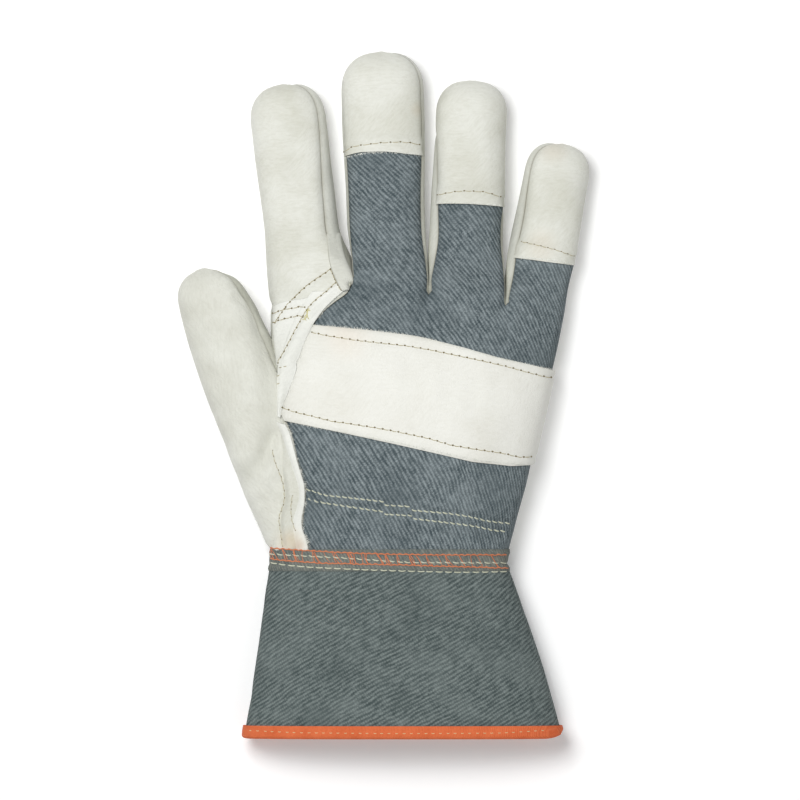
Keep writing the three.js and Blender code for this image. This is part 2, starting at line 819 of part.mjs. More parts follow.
function withThumbHole(piece) {
  return mainBody(toManifold(piece).subtract(thumbHollow));
}

function thumbPiece(label) {
  const { surface } = thumb;
  const shell = surface.thicken(surface.labelled([label]), skin, below(leatherWall));
  return mainBody(toManifold(shell).subtract(handBlock));
}

const clothLabels = ['cloth-low', 'cloth-strap', 'cloth-knuckle'];
for (const finger of fingers.slice(1)) {
  clothLabels.push(`${finger.name}-back-low`, `${finger.name}-back-lap`);
}
const sideLabels = ['side-low', 'side-strap', 'side-knuckle', 'little-right'];
const indexLabels = ['index-back-low', 'index-back-lap', 'index-back-high', 'index-left', 'index-end'];

const palmLabels = ['palm', 'hem-low', ...sideLabels];
const aroundStrips = grownPanel(palmLabels, leatherWall)
  .add(grownPanel(clothLabels, clothWall))
  .add(grownPanel(indexLabels, leatherWall));

// Strip between two fingers, folded at the crotch
function fourchette(finger, next) {
  const strip = panel([`${finger.name}-right`, `${next.name}-left`], leatherWall);
  return mainBody(toManifold(strip).subtract(aroundStrips));
}

const pieces = [
  ['palm_leather', 'leather', withThumbHole(panel(palmLabels, leatherWall))],
  ['back_cloth', 'cloth', panel(clothLabels, clothWall)],
  ['index_back', 'leather', panel(indexLabels, leatherWall)],
  ['index_patch', 'leather', withThumbHole(panel(['hem-strap', 'hem-knuckle'], leatherWall))],
  ['knuckle_strap', 'strap', overlay(body.surface, ['cloth-strap', 'side-strap'], leatherWall)],
  ['thumb', 'leather', thumbPiece('thumb')],
  ['thumb_gusset', 'shade', thumbPiece('gusset')],
  ['cuff', 'cuff', cuff.surface.thicken(cuff.surface.labelled(['cuff-plain', 'cuff-band']), skin,
    below(cuffWall))],
  ['cuff_binding', 'tape', bindingSolid(cuff.surface, cuff.rings)],
  ['wrist_band', 'band', overlay(cuff.surface, ['cuff-band', 'above'], tapeWall)],
];
for (const finger of fingers.slice(1)) {
  pieces.push([`${finger.name}_tip`, 'leather', tipCap(finger)]);
}
for (let f = 0; f + 1 < fingers.length; f += 1) {
  const name = `fourchette_${fingers[f].name}_${fingers[f + 1].name}`;
  pieces.push([name, 'shade', fourchette(fingers[f], fingers[f + 1])]);
}

const group = new THREE.Group();
for (const [name, finish, solid] of pieces) {
  group.add(toMesh(name, finish, solid));
}

// Origin at the middle of the underside
const box = new THREE.Box3().setFromObject(group);
group.position.set(-(box.min.x + box.max.x) / 2, -(box.min.y + box.max.y) / 2, -box.min.z);
group.updateMatrixWorld(true);

export default group;
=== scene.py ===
"""Looks of a leather fitter glove for the right hand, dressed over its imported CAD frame.

All sizes are in millimetres until a mesh is made. A plan place is seen from above, in the
photograph's pixels where it is traced from the photograph.
"""

import json
import logging
import math
from dataclasses import dataclass, field
from enum import Enum
from typing import Callable, Optional, Sequence, Union

import bpy
import numpy as np
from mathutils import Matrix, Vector
from mathutils.bvhtree import BVHTree
from mathutils.kdtree import KDTree

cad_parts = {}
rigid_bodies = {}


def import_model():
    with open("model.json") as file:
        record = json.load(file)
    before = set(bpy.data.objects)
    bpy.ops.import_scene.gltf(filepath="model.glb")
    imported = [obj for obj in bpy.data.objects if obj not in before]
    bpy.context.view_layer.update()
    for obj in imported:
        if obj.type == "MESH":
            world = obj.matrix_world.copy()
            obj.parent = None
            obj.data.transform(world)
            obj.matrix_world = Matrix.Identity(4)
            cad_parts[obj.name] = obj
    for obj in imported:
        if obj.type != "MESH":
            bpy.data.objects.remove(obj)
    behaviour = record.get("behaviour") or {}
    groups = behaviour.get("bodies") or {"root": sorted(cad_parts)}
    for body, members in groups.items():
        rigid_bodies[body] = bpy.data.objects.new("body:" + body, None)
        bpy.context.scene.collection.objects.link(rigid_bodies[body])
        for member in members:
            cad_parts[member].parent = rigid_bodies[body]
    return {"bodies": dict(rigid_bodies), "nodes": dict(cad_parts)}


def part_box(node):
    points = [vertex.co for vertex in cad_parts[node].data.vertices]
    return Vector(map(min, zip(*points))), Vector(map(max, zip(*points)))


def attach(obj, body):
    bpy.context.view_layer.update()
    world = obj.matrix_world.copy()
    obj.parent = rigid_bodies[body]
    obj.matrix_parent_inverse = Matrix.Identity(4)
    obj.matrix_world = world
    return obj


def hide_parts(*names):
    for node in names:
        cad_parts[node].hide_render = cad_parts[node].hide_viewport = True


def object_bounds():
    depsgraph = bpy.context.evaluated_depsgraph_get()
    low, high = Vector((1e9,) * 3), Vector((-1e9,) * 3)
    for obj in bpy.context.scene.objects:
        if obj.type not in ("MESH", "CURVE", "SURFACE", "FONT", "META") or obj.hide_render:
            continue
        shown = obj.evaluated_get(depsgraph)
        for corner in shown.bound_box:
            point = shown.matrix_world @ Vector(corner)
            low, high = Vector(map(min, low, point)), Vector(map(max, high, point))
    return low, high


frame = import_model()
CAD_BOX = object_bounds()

log = logging.getLogger("glove")

Array = np.ndarray
Line = Sequence[tuple[float, float]]
Colour = tuple[float, float, float]
Values = tuple[float, ...]
Labels = Sequence[str]
Socket = bpy.types.NodeSocket
Material = bpy.types.Material

# Metres in a millimetre, millimetres in a traced pixel, and the frame's middle in pixels.
MM = 0.001
PIXEL = 0.393
MIDDLE = (383.5, 394.5)
# Clear space between two pieces, then wall thicknesses.
GAP = 0.3
LEATHER = 1.2
CLOTH = 1.0
CUFF_CLOTH = 1.6
TAPE = 0.9
# Height that a drape looks down from, and height of the place it measures from beside the glove.
ABOVE = 200.0
DEEP = 12.0
WHITE = (1.0, 1.0, 1.0, 1.0)


def smooth(t: float) -> float:
    """Eased step from 0 to 1."""
    c = min(1.0, max(0.0, t))
    return c * c * (3 - 2 * c)


def lerp(a: float, b: float, t: float) -> float:
    """Value between two at a share."""
    return a + (b - a) * t


def signed_power(value: float, power: float) -> float:
    """Power that keeps the sign, for rounded rectangles."""
    return math.copysign(abs(value) ** power, value)


def spline(xs: Sequence[float], ys: Sequence[float], x: float) -> float:
    """Reads a smooth curve through points.

    Args:
        xs: rising places.
        ys: values at the places.
        x: place to read.

    Returns:
        The value there.
    """
    last = len(xs) - 1
    i = 0
    while i < last - 1 and x > xs[i + 1]:
        i += 1
    before = max(0, i - 1)
    after = min(last, i + 2)
    span = xs[i + 1] - xs[i]
    t = min(1.0, max(0.0, (x - xs[i]) / span))
    start = (ys[i + 1] - ys[before]) / (xs[i + 1] - xs[before]) * span
    end = (ys[after] - ys[i]) / (xs[after] - xs[i]) * span
    a = (2 * t**3 - 3 * t**2 + 1) * ys[i] + (t**3 - 2 * t**2 + t) * start
    return a + (3 * t**2 - 2 * t**3) * ys[i + 1] + (t**3 - t**2) * end


def unit(rows: Array, least: float = 1e-9) -> Array:
    """Vectors, one a row, brought to length 1 where they are longer than the least."""
    return rows / np.maximum(np.linalg.norm(rows, axis=1), least)[:, None]


def plan(line: Line) -> Array:
    """Plan places in millimetres of a line traced in pixels."""
    traced = np.array(line, float)
    return np.column_stack([(traced[:, 0] - MIDDLE[0]) * PIXEL, (MIDDLE[1] - traced[:, 1]) * PIXEL])


def arc(points: Array) -> Array:
    """Length run along a line at each of its points."""
    return np.concatenate([[0.0], np.cumsum(np.linalg.norm(np.diff(points, axis=0), axis=1))])


def along(points: Array, places: Array) -> Array:
    """Points of a line at lengths along it, rounded where it bends.

    Args:
        points: the line.
        places: lengths along it.

    Returns:
        Its points there.
    """
    run = arc(points)
    soft = sum(
        np.column_stack([np.interp(places + shift, run, points[:, k]) for k in range(points.shape[1])])
        for shift in (-0.7, 0.0, 0.7)
    )
    return soft / 3


def nearest(points: Array, places: Array) -> tuple[Array, Array]:
    """Finds how far plan places are from a line.

    Args:
        points: the line's points.
        places: plan places.

    Returns:
        Distance of each place and length along the line of the nearest point.
    """
    best = np.full(len(places), np.inf)
    where = np.zeros(len(places))
    run = arc(points)
    for i in range(len(points) - 1):
        way = points[i + 1] - points[i]
        size = max(float(way @ way), 1e-9)
        t = np.clip((places - points[i]) @ way / size, 0, 1)
        distance = np.linalg.norm(places - points[i] - t[:, None] * way, axis=1)
        closer = distance < best
        best[closer] = distance[closer]
        where[closer] = run[i] + t[closer] * math.sqrt(size)
    return best, where


def softened(points: Array, rounds: int = 2) -> Array:
    """Line with its corners cut, again and again.

    Args:
        points: the line.
        rounds: how often corners are cut.

    Returns:
        The rounder line.
    """
    for _ in range(rounds):
        first = points[:-1] * 0.75 + points[1:] * 0.25
        second = points[:-1] * 0.25 + points[1:] * 0.75
        inner = np.stack([first, second], axis=1).reshape(-1, points.shape[1])
        points = np.vstack([points[:1], inner[1:-1], points[-1:]])
    return points


def noise(points: Array, cell: float, seed: int) -> Array:
    """Smooth seeded noise.

    Args:
        points: places, one a row.
        cell: size of its lumps.
        seed: picks the pattern.

    Returns:
        Values from -1 to 1.
    """
    scaled = points / cell
    base = np.floor(scaled).astype(np.int64)
    part = scaled - base
    part = part * part * (3 - 2 * part)
    total = np.zeros(len(points))
    for corner in np.ndindex(*(2,) * points.shape[1]):
        key = base + np.array(corner)
        mixed = np.full(len(points), seed * 7919 + 17, dtype=np.int64)
        for k in range(points.shape[1]):
            mixed = (mixed * 31 + key[:, k]) * 2654435761 % 4294967291
        mixed = (mixed ^ (mixed >> 13)) * 1274126177 % 4294967291
        weight = np.ones(len(points))
        for k, side in enumerate(corner):
            weight *= part[:, k] if side else 1 - part[:, k]
        total += weight * (mixed / 2147483645.5 - 1)
    return total


def tree_of(points: Array, numbers: Sequence[int]) -> KDTree:
    """Search tree over some of the points.

    Args:
        points: all points.
        numbers: those that go in.

    Returns:
        The tree.
    """
    tree = KDTree(len(numbers))
    for i in numbers:
        tree.insert(Vector(points[i]), i)
    tree.balance()
    return tree


@dataclass
class Solid:
    """Points and faces of one closed body, in millimetres, with, where given, each point's nearness to the
    border for dirt and painted edge shade.
    """

    points: Array
    faces: list
    wear: Optional[Array] = None


def joined(solids: Sequence[Solid]) -> Solid:
    """One solid holding several.

    Args:
        solids: the parts.

    Returns:
        The whole, with the nearness to the border that carries dirt and painted edge shade.
    """
    points, faces, wear, count = [], [], [], 0
    for solid in solids:
        points.append(solid.points)
        faces += [[corner + count for corner in face] for face in solid.faces]
        wear.append(np.zeros(len(solid.points)) if solid.wear is None else solid.wear)
        count += len(solid.points)
    return Solid(np.vstack(points), faces, np.concatenate(wear))


class Surface:
    """Quads that the glove's panels are cut from, each with a label."""

    def __init__(self) -> None:
        """Starts it empty."""
        self.rows: list[Array] = []
        self.corners: list[tuple[int, int, int, int]] = []
        self.labels: list[str] = []

    def add(self, point: Array) -> int:
        """Adds a point and gives its number."""
        self.rows.append(point)
        return len(self.rows) - 1

    def quad(self, a: int, b: int, c: int, d: int, label: str) -> None:
        """Adds a face."""
        self.corners.append((a, b, c, d))
        self.labels.append(label)

    def strip(self, first: Sequence[int], second: Sequence[int], labels: Labels) -> None:
        """Adds a closed strip of faces between two rings of points.

        Args:
            first: the points of one ring.
            second: those of the next.
            labels: one a face.
        """
        for i, label in enumerate(labels):
            j = (i + 1) % len(first)
            self.quad(first[i], first[j], second[j], second[i], label)

    def settle(self, shift: Array, rounds: int, pinned: Sequence[int] = ()) -> None:
        """Turns the lists into arrays, in place in the frame, and evens them out.

        Args:
            shift: from the building place to the frame.
            rounds: of evening out, which rounds creases off without shrinking.
            pinned: points that stay.
        """
        self.points = np.array(self.rows, float) + shift
        self.quads = np.array(self.corners, int)
        self.names = np.array(self.labels)
        edges = np.vstack([self.quads[:, [k, (k + 1) % 4]] for k in range(4)])
        edges = np.unique(np.sort(edges, axis=1), axis=0)
        a, b = edges.T
        count = np.bincount(edges.ravel(), minlength=len(self.points))[:, None]
        free = np.ones((len(self.points), 1))
        free[list(pinned)] = 0
        for turn in range(2 * rounds):
            total = np.zeros_like(self.points)
            for k in range(3):
                total[:, k] += np.bincount(a, self.points[b, k], len(self.points))
                total[:, k] += np.bincount(b, self.points[a, k], len(self.points))
            pull = total / np.maximum(count, 1) - self.points
            self.points = self.points + free * pull * (0.5 if turn % 2 == 0 else -0.52)
        self.points[:, 2] = np.maximum(self.points[:, 2], 0)
        self.normals = self.point_normals()

    def face_normals(self, quads: Array) -> Array:
        """Normals of faces, as long as twice their area."""
        a, b, c, d = (self.points[quads[:, k]] for k in range(4))
        return np.cross(c - a, d - b)

    def point_normals(self) -> Array:
        """Unit normals of all points.

        Returns:
            One normal a point.
        """
        normals = self.face_normals(self.quads)
        total = np.zeros_like(self.points)
        for k in range(4):
            for axis in range(3):
                total[:, axis] += np.bincount(self.quads[:, k], normals[:, axis], len(self.points))
        return unit(total)

    def faces(self, labels: Labels) -> Array:
        """Faces with any of the labels."""
        return self.quads[np.isin(self.names, labels)]

    def rim(self, quads: Array) -> tuple[Array, Array]:
        """Edges that only one of the faces uses, and each one's face.

        Args:
            quads: the faces.

        Returns:
            Ends of each edge, and the number of its face.
        """
        count = len(self.points)
        ends = np.vstack([quads[:, [k, (k + 1) % 4]] for k in range(4)])
        owner = np.tile(np.arange(len(quads)), 4)
        alone = ~np.isin(ends[:, 0] * count + ends[:, 1], ends[:, 1] * count + ends[:, 0])
        return ends[alone], owner[alone]

    def drawn_in(self, quads: Array, border: float) -> Array:
        """Shift of every point that keeps a piece's border clear of its neighbours.

        Args:
            quads: the piece's faces.
            border: how far the border is drawn in.

        Returns:
            One shift a point.
        """
        ends, owner = self.rim(quads)
        way = unit(self.points[ends[:, 1]] - self.points[ends[:, 0]])
        up = unit(self.face_normals(quads)[owner])
        inward = np.zeros_like(self.points)
        back = np.zeros_like(self.points)
        for k, sign in ((0, -1.0), (1, 1.0)):
            np.add.at(inward, ends[:, k], np.cross(up, way))
            np.add.at(back, ends[:, k], sign * way)
        size = np.linalg.norm(inward, axis=1)
        notch = size < 0.3
        reach = np.where(notch, 2.0, np.minimum(2 / np.maximum(size, 1e-9), 2.0))
        pull = np.where(notch[:, None], back, inward)
        pull = unit(pull - self.normals * np.sum(pull * self.normals, axis=1)[:, None])
        moved = np.zeros(len(self.points), bool)
        moved[ends.ravel()] = True
        return pull * (reach * border * moved)[:, None]

    def to_border(self, quads: Array, beside: Labels = ()) -> Array:
        """Distance of each point from the piece's border.

        Args:
            quads: the piece's faces.
            beside: labels of faces whose border points don't count, as at a raw hem.

        Returns:
            Distances, large away from the piece.
        """
        ends, _ = self.rim(quads)
        hem = np.isin(self.names, beside)
        skip = set(np.unique(self.quads[hem]).tolist()) if hem.any() else set()
        border = [i for i in np.unique(ends).tolist() if i not in skip]
        result = np.full(len(self.points), 1e3)
        if not border:
            return result
        tree = tree_of(self.points, border)
        for i in np.unique(quads).tolist():
            result[i] = tree.find(Vector(self.points[i]))[2]
        return result

    def shell(self, quads: Array, outer: Array, inner: Array, beside: Labels = ()) -> Solid:
        """Closed solid over some faces, between two offsets from the surface.

        Args:
            quads: the piece's faces.
            outer: offset of the outside at every point.
            inner: offset of the inside.
            beside: labels whose shared border shows no dirt or painted edge shade, as at a raw hem.

        Returns:
            The solid, which never goes below the floor.
        """
        used, local = np.unique(quads, return_inverse=True)
        local = local.reshape(quads.shape)
        base = self.points[used] + self.drawn_in(quads, GAP / 2)[used]
        top = base + self.normals[used] * outer[used, None]
        low = base + self.normals[used] * inner[used, None]
        points = np.vstack([top, low])
        points[:, 2] = np.maximum(points[:, 2], 0)
        slot = np.zeros(len(self.points), int)
        slot[used] = np.arange(len(used))
        ends, _ = self.rim(quads)
        a, b = slot[ends[:, 0]], slot[ends[:, 1]]
        rim = np.column_stack([b, a, a + len(used), b + len(used)])
        faces = np.vstack([local, local[:, ::-1] + len(used), rim]).tolist()
        # Nearness to the border, which the finishes paint as dirt and as shade along the seams.
        worn_and_edge_shaded = np.exp(-((self.to_border(quads, beside)[used] / 1.3) ** 2))
        return Solid(points, faces, np.concatenate([worn_and_edge_shaded, worn_and_edge_shaded]))


@dataclass(frozen=True)
class Groove:
    """Line that is pressed into the cloth or leather by its seam."""

    line: Line
    depth: float = 0.5
    width: float = 1.2
    swell: float = 0.0
    pucker: float = 0.0
    period: float = 2.5
    reach: float = 4.0

    def offset(self, places: Array) -> Array:
        """Height change at plan places.

        Args:
            places: plan places.

        Returns:
            One height a place.
        """
        distance, where = nearest(plan(self.line), places)
        result = -self.depth * np.exp(-((distance / self.width) ** 2))
        result += self.swell * np.exp(-(((distance - 2.2 * self.width) / self.width) ** 2))
        if self.pucker:
            wave = np.sin(2 * math.pi * where / self.period + 2.0 * noise(places, 9.0, 3))
            result += self.pucker * wave * np.exp(-((distance / self.reach) ** 2))
        return result


class Drape:
    """Top of what has been laid so far, seen from above."""

    def __init__(self) -> None:
        """Starts with nothing laid."""
        self.layers: list[BVHTree] = []

    def lay(self, solid: Solid) -> None:
        """Adds a solid."""
        self.layers.append(BVHTree.FromPolygons(solid.points.tolist(), solid.faces))

    def touch(self, x: float, y: float) -> tuple[Array, Array]:
        """Finds what lies under a plan place.

        Args:
            x: place across.
            y: place along.

        Returns:
            The point and its normal.
        """
        best: Optional[tuple] = None
        for layer in self.layers:
            hit, normal, _, _ = layer.ray_cast(Vector((x, y, ABOVE)), Vector((0, 0, -1)))
            if hit is not None and (best is None or hit.z > best[0].z):
                best = (hit, normal)
        if best is None:
            place = Vector((x, y, DEEP))
            near = [layer.find_nearest(place) for layer in self.layers]
            best = min(((n[0], n[1]) for n in near), key=lambda n: (n[0] - place).length)
        return np.array(best[0]), np.array(best[1])

    def above(self, spots: Array, lift: float) -> Array:
        """Points over plan places, lifted off what is there."""
        return np.array([self.touch(*spot)[0] + np.array([0, 0, lift]) for spot in spots])


@dataclass(frozen=True)
class Finger:
    """Sizes of one finger; shift and lean are towards the little finger, seams are at base and end."""

    name: str
    base: float
    middle: float
    end: float
    length: float
    thick: float
    shift: float
    lean: float
    seam_left: tuple[float, float]
    seam_right: tuple[float, float]
    cap: float
    hem: Values = (0.0, 0.0, 0.0, 0.0, 0.0)


@dataclass
class Section:
    """Section of the hand at one height."""

    left: float
    right: float
    height: float
    floor: float


@dataclass
class Form:
    """Shape of the hand and cuff, with the same sizes as the CAD source."""

    palm_length: float = 106.0
    wrist_width: float = 92.4
    wrist_height: float = 33.0
    palm_height: float = 36.0
    knuckle_height: float = 28.0
    knuckle_shift: float = 12.3
    edge_bulge: float = 0.8
    cuff_length: float = 68.6
    cuff_width: float = 124.6
    cuff_height: float = 35.0
    cuff_shift: float = 5.9
    corner_rise: float = 2.4
    corner_run: float = 6.5
    cloth_turn: int = 2
    cuff_bulge: tuple[float, float] = (0.4, 1.6)
    strap_width: float = 38.0
    strap_height: float = 38.0
    strap_tilt: float = 18.0
    cap_lap: float = 4.7
    wrist_run: float = 12.0
    leather_edge: float = 0.1
    crown_power: float = 2.5
    sole_power: float = 2.9
    crown_share: float = 0.58
    sole_share: float = 0.88
    sole_press: float = 1.07
    tip_power: float = 2.4
    valley_depth: float = 1.6
    valley_width: float = 2.4
    valley_pitch: float = 28.0
    blend_share: float = 0.3
    finger_turn: float = 0.35
    finger_swell: float = 0.4
    finger_crown: float = 0.522
    dome_rows: int = 11
    dome_turn: float = 0.93
    hem_fade: float = 9.0
    end_bulge: float = 0.006
    high_from: float = 0.45
    mouth_round: float = 0.045
    across: int = 22
    side: int = 8
    step: float = 1.35
    crotches: Values = (0.957, 1.053, 1.0, 0.96, 0.925)
    leather_at: Values = (
        0.0, 0.06, 0.13, 0.2, 0.27, 0.35, 0.42, 0.48, 0.52, 0.56, 0.62, 0.69, 0.76, 0.81, 0.89, 0.94, 0.975,
        1.01, 1.053,
    )
    leather_inset: Values = (
        0.59, 0.585, 0.484, 0.495, 0.51, 0.42, 0.345, 0.281, 0.207, 0.147, 0.222, 0.3, 0.34, 0.4, 0.54, 0.665,
        0.8, 0.96, 1.0,
    )
    strap_top_at: Values = (0.0, 0.143, 0.333, 0.51, 0.665, 0.79, 0.93, 1.0)
    strap_top: Values = (1.5, 2.6, 3.9, 4.6, 3.1, 1.5, 0.6, 0.2)
    strap_low_at: Values = (0.0, 0.047, 0.46, 0.77, 0.92, 1.0)
    strap_low: Values = (1.2, 1.1, -0.6, -2.1, -1.0, 1.0)
    fingers: tuple[Finger, ...] = (
        Finger("index", 31.8, 29.1, 29.6, 82.7, 21.5, -0.6, -6.9, (-0.96, -0.98), (0.6, 0.84), 0.5),
        Finger("middle", 30.7, 30.7, 32.6, 92.8, 22.0, -1.0, -1.6, (-0.97, -1.0), (0.93, 0.97), 0.561,
               (-1.2, -0.4, 0.9, 0.9, -0.6)),
        Finger("ring", 31.0, 29.0, 27.9, 86.3, 21.0, -1.7, 2.6, (-0.7, -1.06), (0.97, 1.05), 0.427,
               (0.0, 0.3, 0.5, 0.2, -0.5)),
        Finger("little", 24.0, 27.0, 25.6, 66.6, 19.5, -1.4, 10.6, (-0.74, -0.86), (0.98, 0.98), 0.28,
               (1.4, 1.0, 0.5, 0.0, -0.3)),
    )

    def __post_init__(self) -> None:
        """Works out the places of the lines between the fingers."""
        self.knuckle_width = sum(finger.base for finger in self.fingers)
        run = np.cumsum([0.0] + [finger.base for finger in self.fingers])
        self.shares = (run / self.knuckle_width).tolist()

    def section(self, y: float) -> Section:
        """Section at a height above the wrist, or of the cuff below it.

        Args:
            y: height above the wrist, below 0 on the cuff.

        Returns:
            The section.
        """
        at = y / self.palm_length
        lift = GAP + TAPE
        if at < 0:
            down = min(1.0, -y / self.cuff_length)
            width = lerp(self.wrist_width, self.cuff_width, down)
            middle = self.cuff_shift * down
            height = lerp(self.wrist_height, self.cuff_height, smooth(down))
            full = math.sqrt(max(0.0, math.sin(math.pi * down)))
            left, right = (side * full for side in self.cuff_bulge)
            return Section(middle - width / 2 - left, middle + width / 2 + right, height, lift)
        middle = self.knuckle_shift * at
        width = lerp(self.wrist_width, self.knuckle_width, at)
        if at < self.high_from:
            height = lerp(self.wrist_height, self.palm_height, smooth(at / self.high_from))
        else:
            share = smooth((at - self.high_from) / (1 - self.high_from))
            height = lerp(self.palm_height, self.knuckle_height, share)
        bulge = self.edge_bulge * math.sin(math.pi * min(1.0, at))
        floor = lift * (1 - smooth((y - self.wrist_run) / self.wrist_run))
        return Section(middle - width / 2, middle + width / 2 + bulge, height, floor)

    def crown(self, section: Section, u: float) -> float:
        """Height of the back at a share of the half width.

        Args:
            section: of the hand.
            u: share from -1 to 1.

        Returns:
            The height.
        """
        power = self.crown_power
        up = section.height * self.crown_share * (1 - abs(u) ** power) ** (1 / power)
        return section.height * (1 - self.crown_share) + up

    def sole(self, section: Section, u: float) -> float:
        """Height of the palm side at a share of the half width.

        Args:
            section: of the hand.
            u: share from -1 to 1.

        Returns:
            The height.
        """
        middle = section.height * (1 - self.crown_share)
        power = self.sole_power
        drop = middle * self.sole_press * (1 - abs(u) ** power) ** (1 / power)
        return max(middle - drop, section.floor)

    def strap_edge(self, share: float, top: bool) -> float:
        """Height above the wrist of an edge of the knuckle strap.

        Args:
            share: place across the hand.
            top: the edge nearer the fingers.

        Returns:
            The height.
        """
        low = self.strap_height + self.strap_tilt * (1 - share)
        if top:
            return low + self.strap_width + float(np.interp(share, self.strap_top_at, self.strap_top))
        return low + float(np.interp(share, self.strap_low_at, self.strap_low))

    def row_height(self, band: str, through: float, share: float, place: float) -> float:
        """Height of a row of points above the wrist.

        Args:
            band: cuff, low, strap or knuckle.
            through: how far the row lies through the band.
            share: place across the hand's width.
            place: the same place, counted in fingers.

        Returns:
            The height.
        """
        if band == "cuff":
            run = self.corner_run / self.cuff_width
            round_off = 1 - math.sqrt(1 - min(1.0, max(0.0, (share - 1 + run) / run)) ** 2)
            corner = self.corner_rise * round_off * smooth((through - 1) / self.mouth_round + 1)
            return -(self.cuff_length - corner - TAPE - GAP) * through
        i = min(int(place), len(self.fingers) - 1)
        crotch = self.palm_length * lerp(self.crotches[i], self.crotches[i + 1], place - i)
        low, top = self.strap_edge(share, False), self.strap_edge(share, True)
        start, end = {"low": (0.0, low), "strap": (low, top), "knuckle": (top, crotch)}[band]
        return lerp(start, end, through)

    def line_shares(self, height: float, on_back: bool) -> list[float]:
        """Places across the hand of the lines between the fingers.

        Args:
            height: share of the palm's length.
            on_back: back, not palm.

        Returns:
            Shares of the width.
        """
        if not on_back:
            return self.shares
        at = min(self.leather_at[-1], max(0.0, height))
        inset = spline(self.leather_at, self.leather_inset, at) * self.shares[1]
        rest = 1 - self.shares[1]
        return [
            share if share < self.shares[1] else lerp(inset, 1.0, (share - self.shares[1]) / rest)
            for share in self.shares
        ]

    def ring(self, band: str, through: float) -> list[Array]:
        """Closed ring of points round the hand or cuff.

        Args:
            band: cuff, low, strap or knuckle.
            through: how far the ring lies through the band.

        Returns:
            Points: the back, the little finger's side, the palm, the thumb's side.
        """
        count = len(self.fingers) * self.across
        level = self.row_height(band, through, self.leather_edge, 1) / self.palm_length
        kinds = {on_back: self.line_shares(level, on_back) for on_back in (True, False)}

        def column(k: int, on_back: bool) -> Array:
            """Point of one column of the back or the palm.

            Args:
                k: number of the column.
                on_back: back, not palm.

            Returns:
                The point.
            """
            i = min(k // self.across, len(self.fingers) - 1)
            shares = kinds[on_back]
            share = lerp(shares[i], shares[i + 1], k / self.across - i)
            y = self.row_height(band, through, share, k / self.across)
            section = self.section(y)
            reach = 1.0 if on_back else self.sole_share
            u = min(1.0, max(-1.0, (2 * share - 1) * reach))
            x = lerp(section.left, section.right, (u + 1) / 2)
            if not on_back:
                return np.array([x, y, self.sole(section, u)])
            z = self.crown(section, u)
            if band == "knuckle":
                for line in (2, 3):
                    off = (k / self.across - line) * self.valley_pitch / self.valley_width
                    z -= self.valley_depth * through * through * math.exp(-off * off)
            return np.array([x, y, z])

        def flank(side: int, step: int) -> Array:
            """Point of one of the two sides.

            Args:
                side: 1 towards the little finger, -1 towards the thumb.
                step: along the side.

            Returns:
                The point.
            """
            y = self.row_height(band, through, max(side, 0), len(self.fingers) * max(side, 0))
            section = self.section(y)
            end = math.acos(self.sole_share ** (self.sole_power / 2))
            u = side * math.cos(end * step / self.side) ** (2 / self.sole_power)
            return np.array([lerp(section.left, section.right, (u + 1) / 2), y, self.sole(section, u)])

        ring = [column(k, True) for k in range(count + 1)]
        ring += [flank(1, step) for step in range(1, self.side)]
        ring += [column(k, False) for k in range(count, -1, -1)]
        ring += [flank(-1, step) for step in range(self.side - 1, 0, -1)]
        return ring

    def seam_angle(self, share: float) -> float:
        """Angle of a seam at a share of the half width; past 1 it lies under the widest line.

        Args:
            share: of the half width.

        Returns:
            The angle round the finger.
        """
        inside = max(-1.0, min(1.0, share if abs(share) <= 1 else math.copysign(2 - abs(share), share)))
        angle = math.acos(signed_power(inside, self.crown_power / 2))
        if share > 1:
            return -angle
        return 2 * math.pi - angle if share < -1 else angle

    def finger_ring(self, finger: Finger, root: Array, distance: float, hem: float) -> list[Array]:
        """Ring round a finger at a distance from its root.

        Args:
            finger: its sizes.
            root: middle of its base.
            distance: along the finger.
            hem: how much of the bend of the tip's hem the ring takes.

        Returns:
            Points in the order of the hand's ring.
        """
        lean = math.radians(finger.lean)
        axis = np.array([math.sin(lean), math.cos(lean), 0.0])
        sideways = np.array([math.cos(lean), -math.sin(lean), 0.0])
        sole_angle = math.acos(self.sole_share ** (self.sole_power / 2))
        turned = smooth(distance / finger.length)
        left = self.seam_angle(lerp(*finger.seam_left, turned))
        right = self.seam_angle(lerp(*finger.seam_right, turned))
        spans = (
            (left, right, self.across),
            (right, -sole_angle, self.side),
            (-sole_angle, sole_angle - math.pi, self.across),
            (sole_angle - math.pi, left - 2 * math.pi, self.side),
        )
        ring = []
        for start, end, steps in spans:
            for step in range(steps):
                angle = lerp(start, end, step / steps)
                bent = distance
                if hem and math.sin(angle) > -0.2:
                    place = 2 * (1 - math.cos(angle))
                    bent += hem * float(np.interp(place, range(5), finger.hem))
                share = bent / finger.length
                dome = finger.end / 2
                rest = min(1.0, max(0.0, (finger.length - bent) / dome))
                full = (1 - (1 - rest) ** self.tip_power) ** (1 / self.tip_power)
                turn = self.finger_turn
                early = lerp(finger.base, finger.middle, smooth(share / turn))
                late = lerp(finger.middle, finger.end, smooth((share - turn) / self.finger_swell))
                half = (early if share < turn else late) / 2 * full
                level = finger.thick * (1 - self.finger_crown)
                upper = math.sin(angle) >= 0
                power = self.crown_power if upper else self.sole_power
                rise = finger.thick * self.finger_crown * full if upper else level * self.sole_press * full
                across = half * signed_power(math.cos(angle), 2 / power)
                point = root + axis * bent + sideways * across
                point[2] = max(0.0, level + rise * signed_power(math.sin(angle), 2 / power))
                ring.append(point)
        return ring

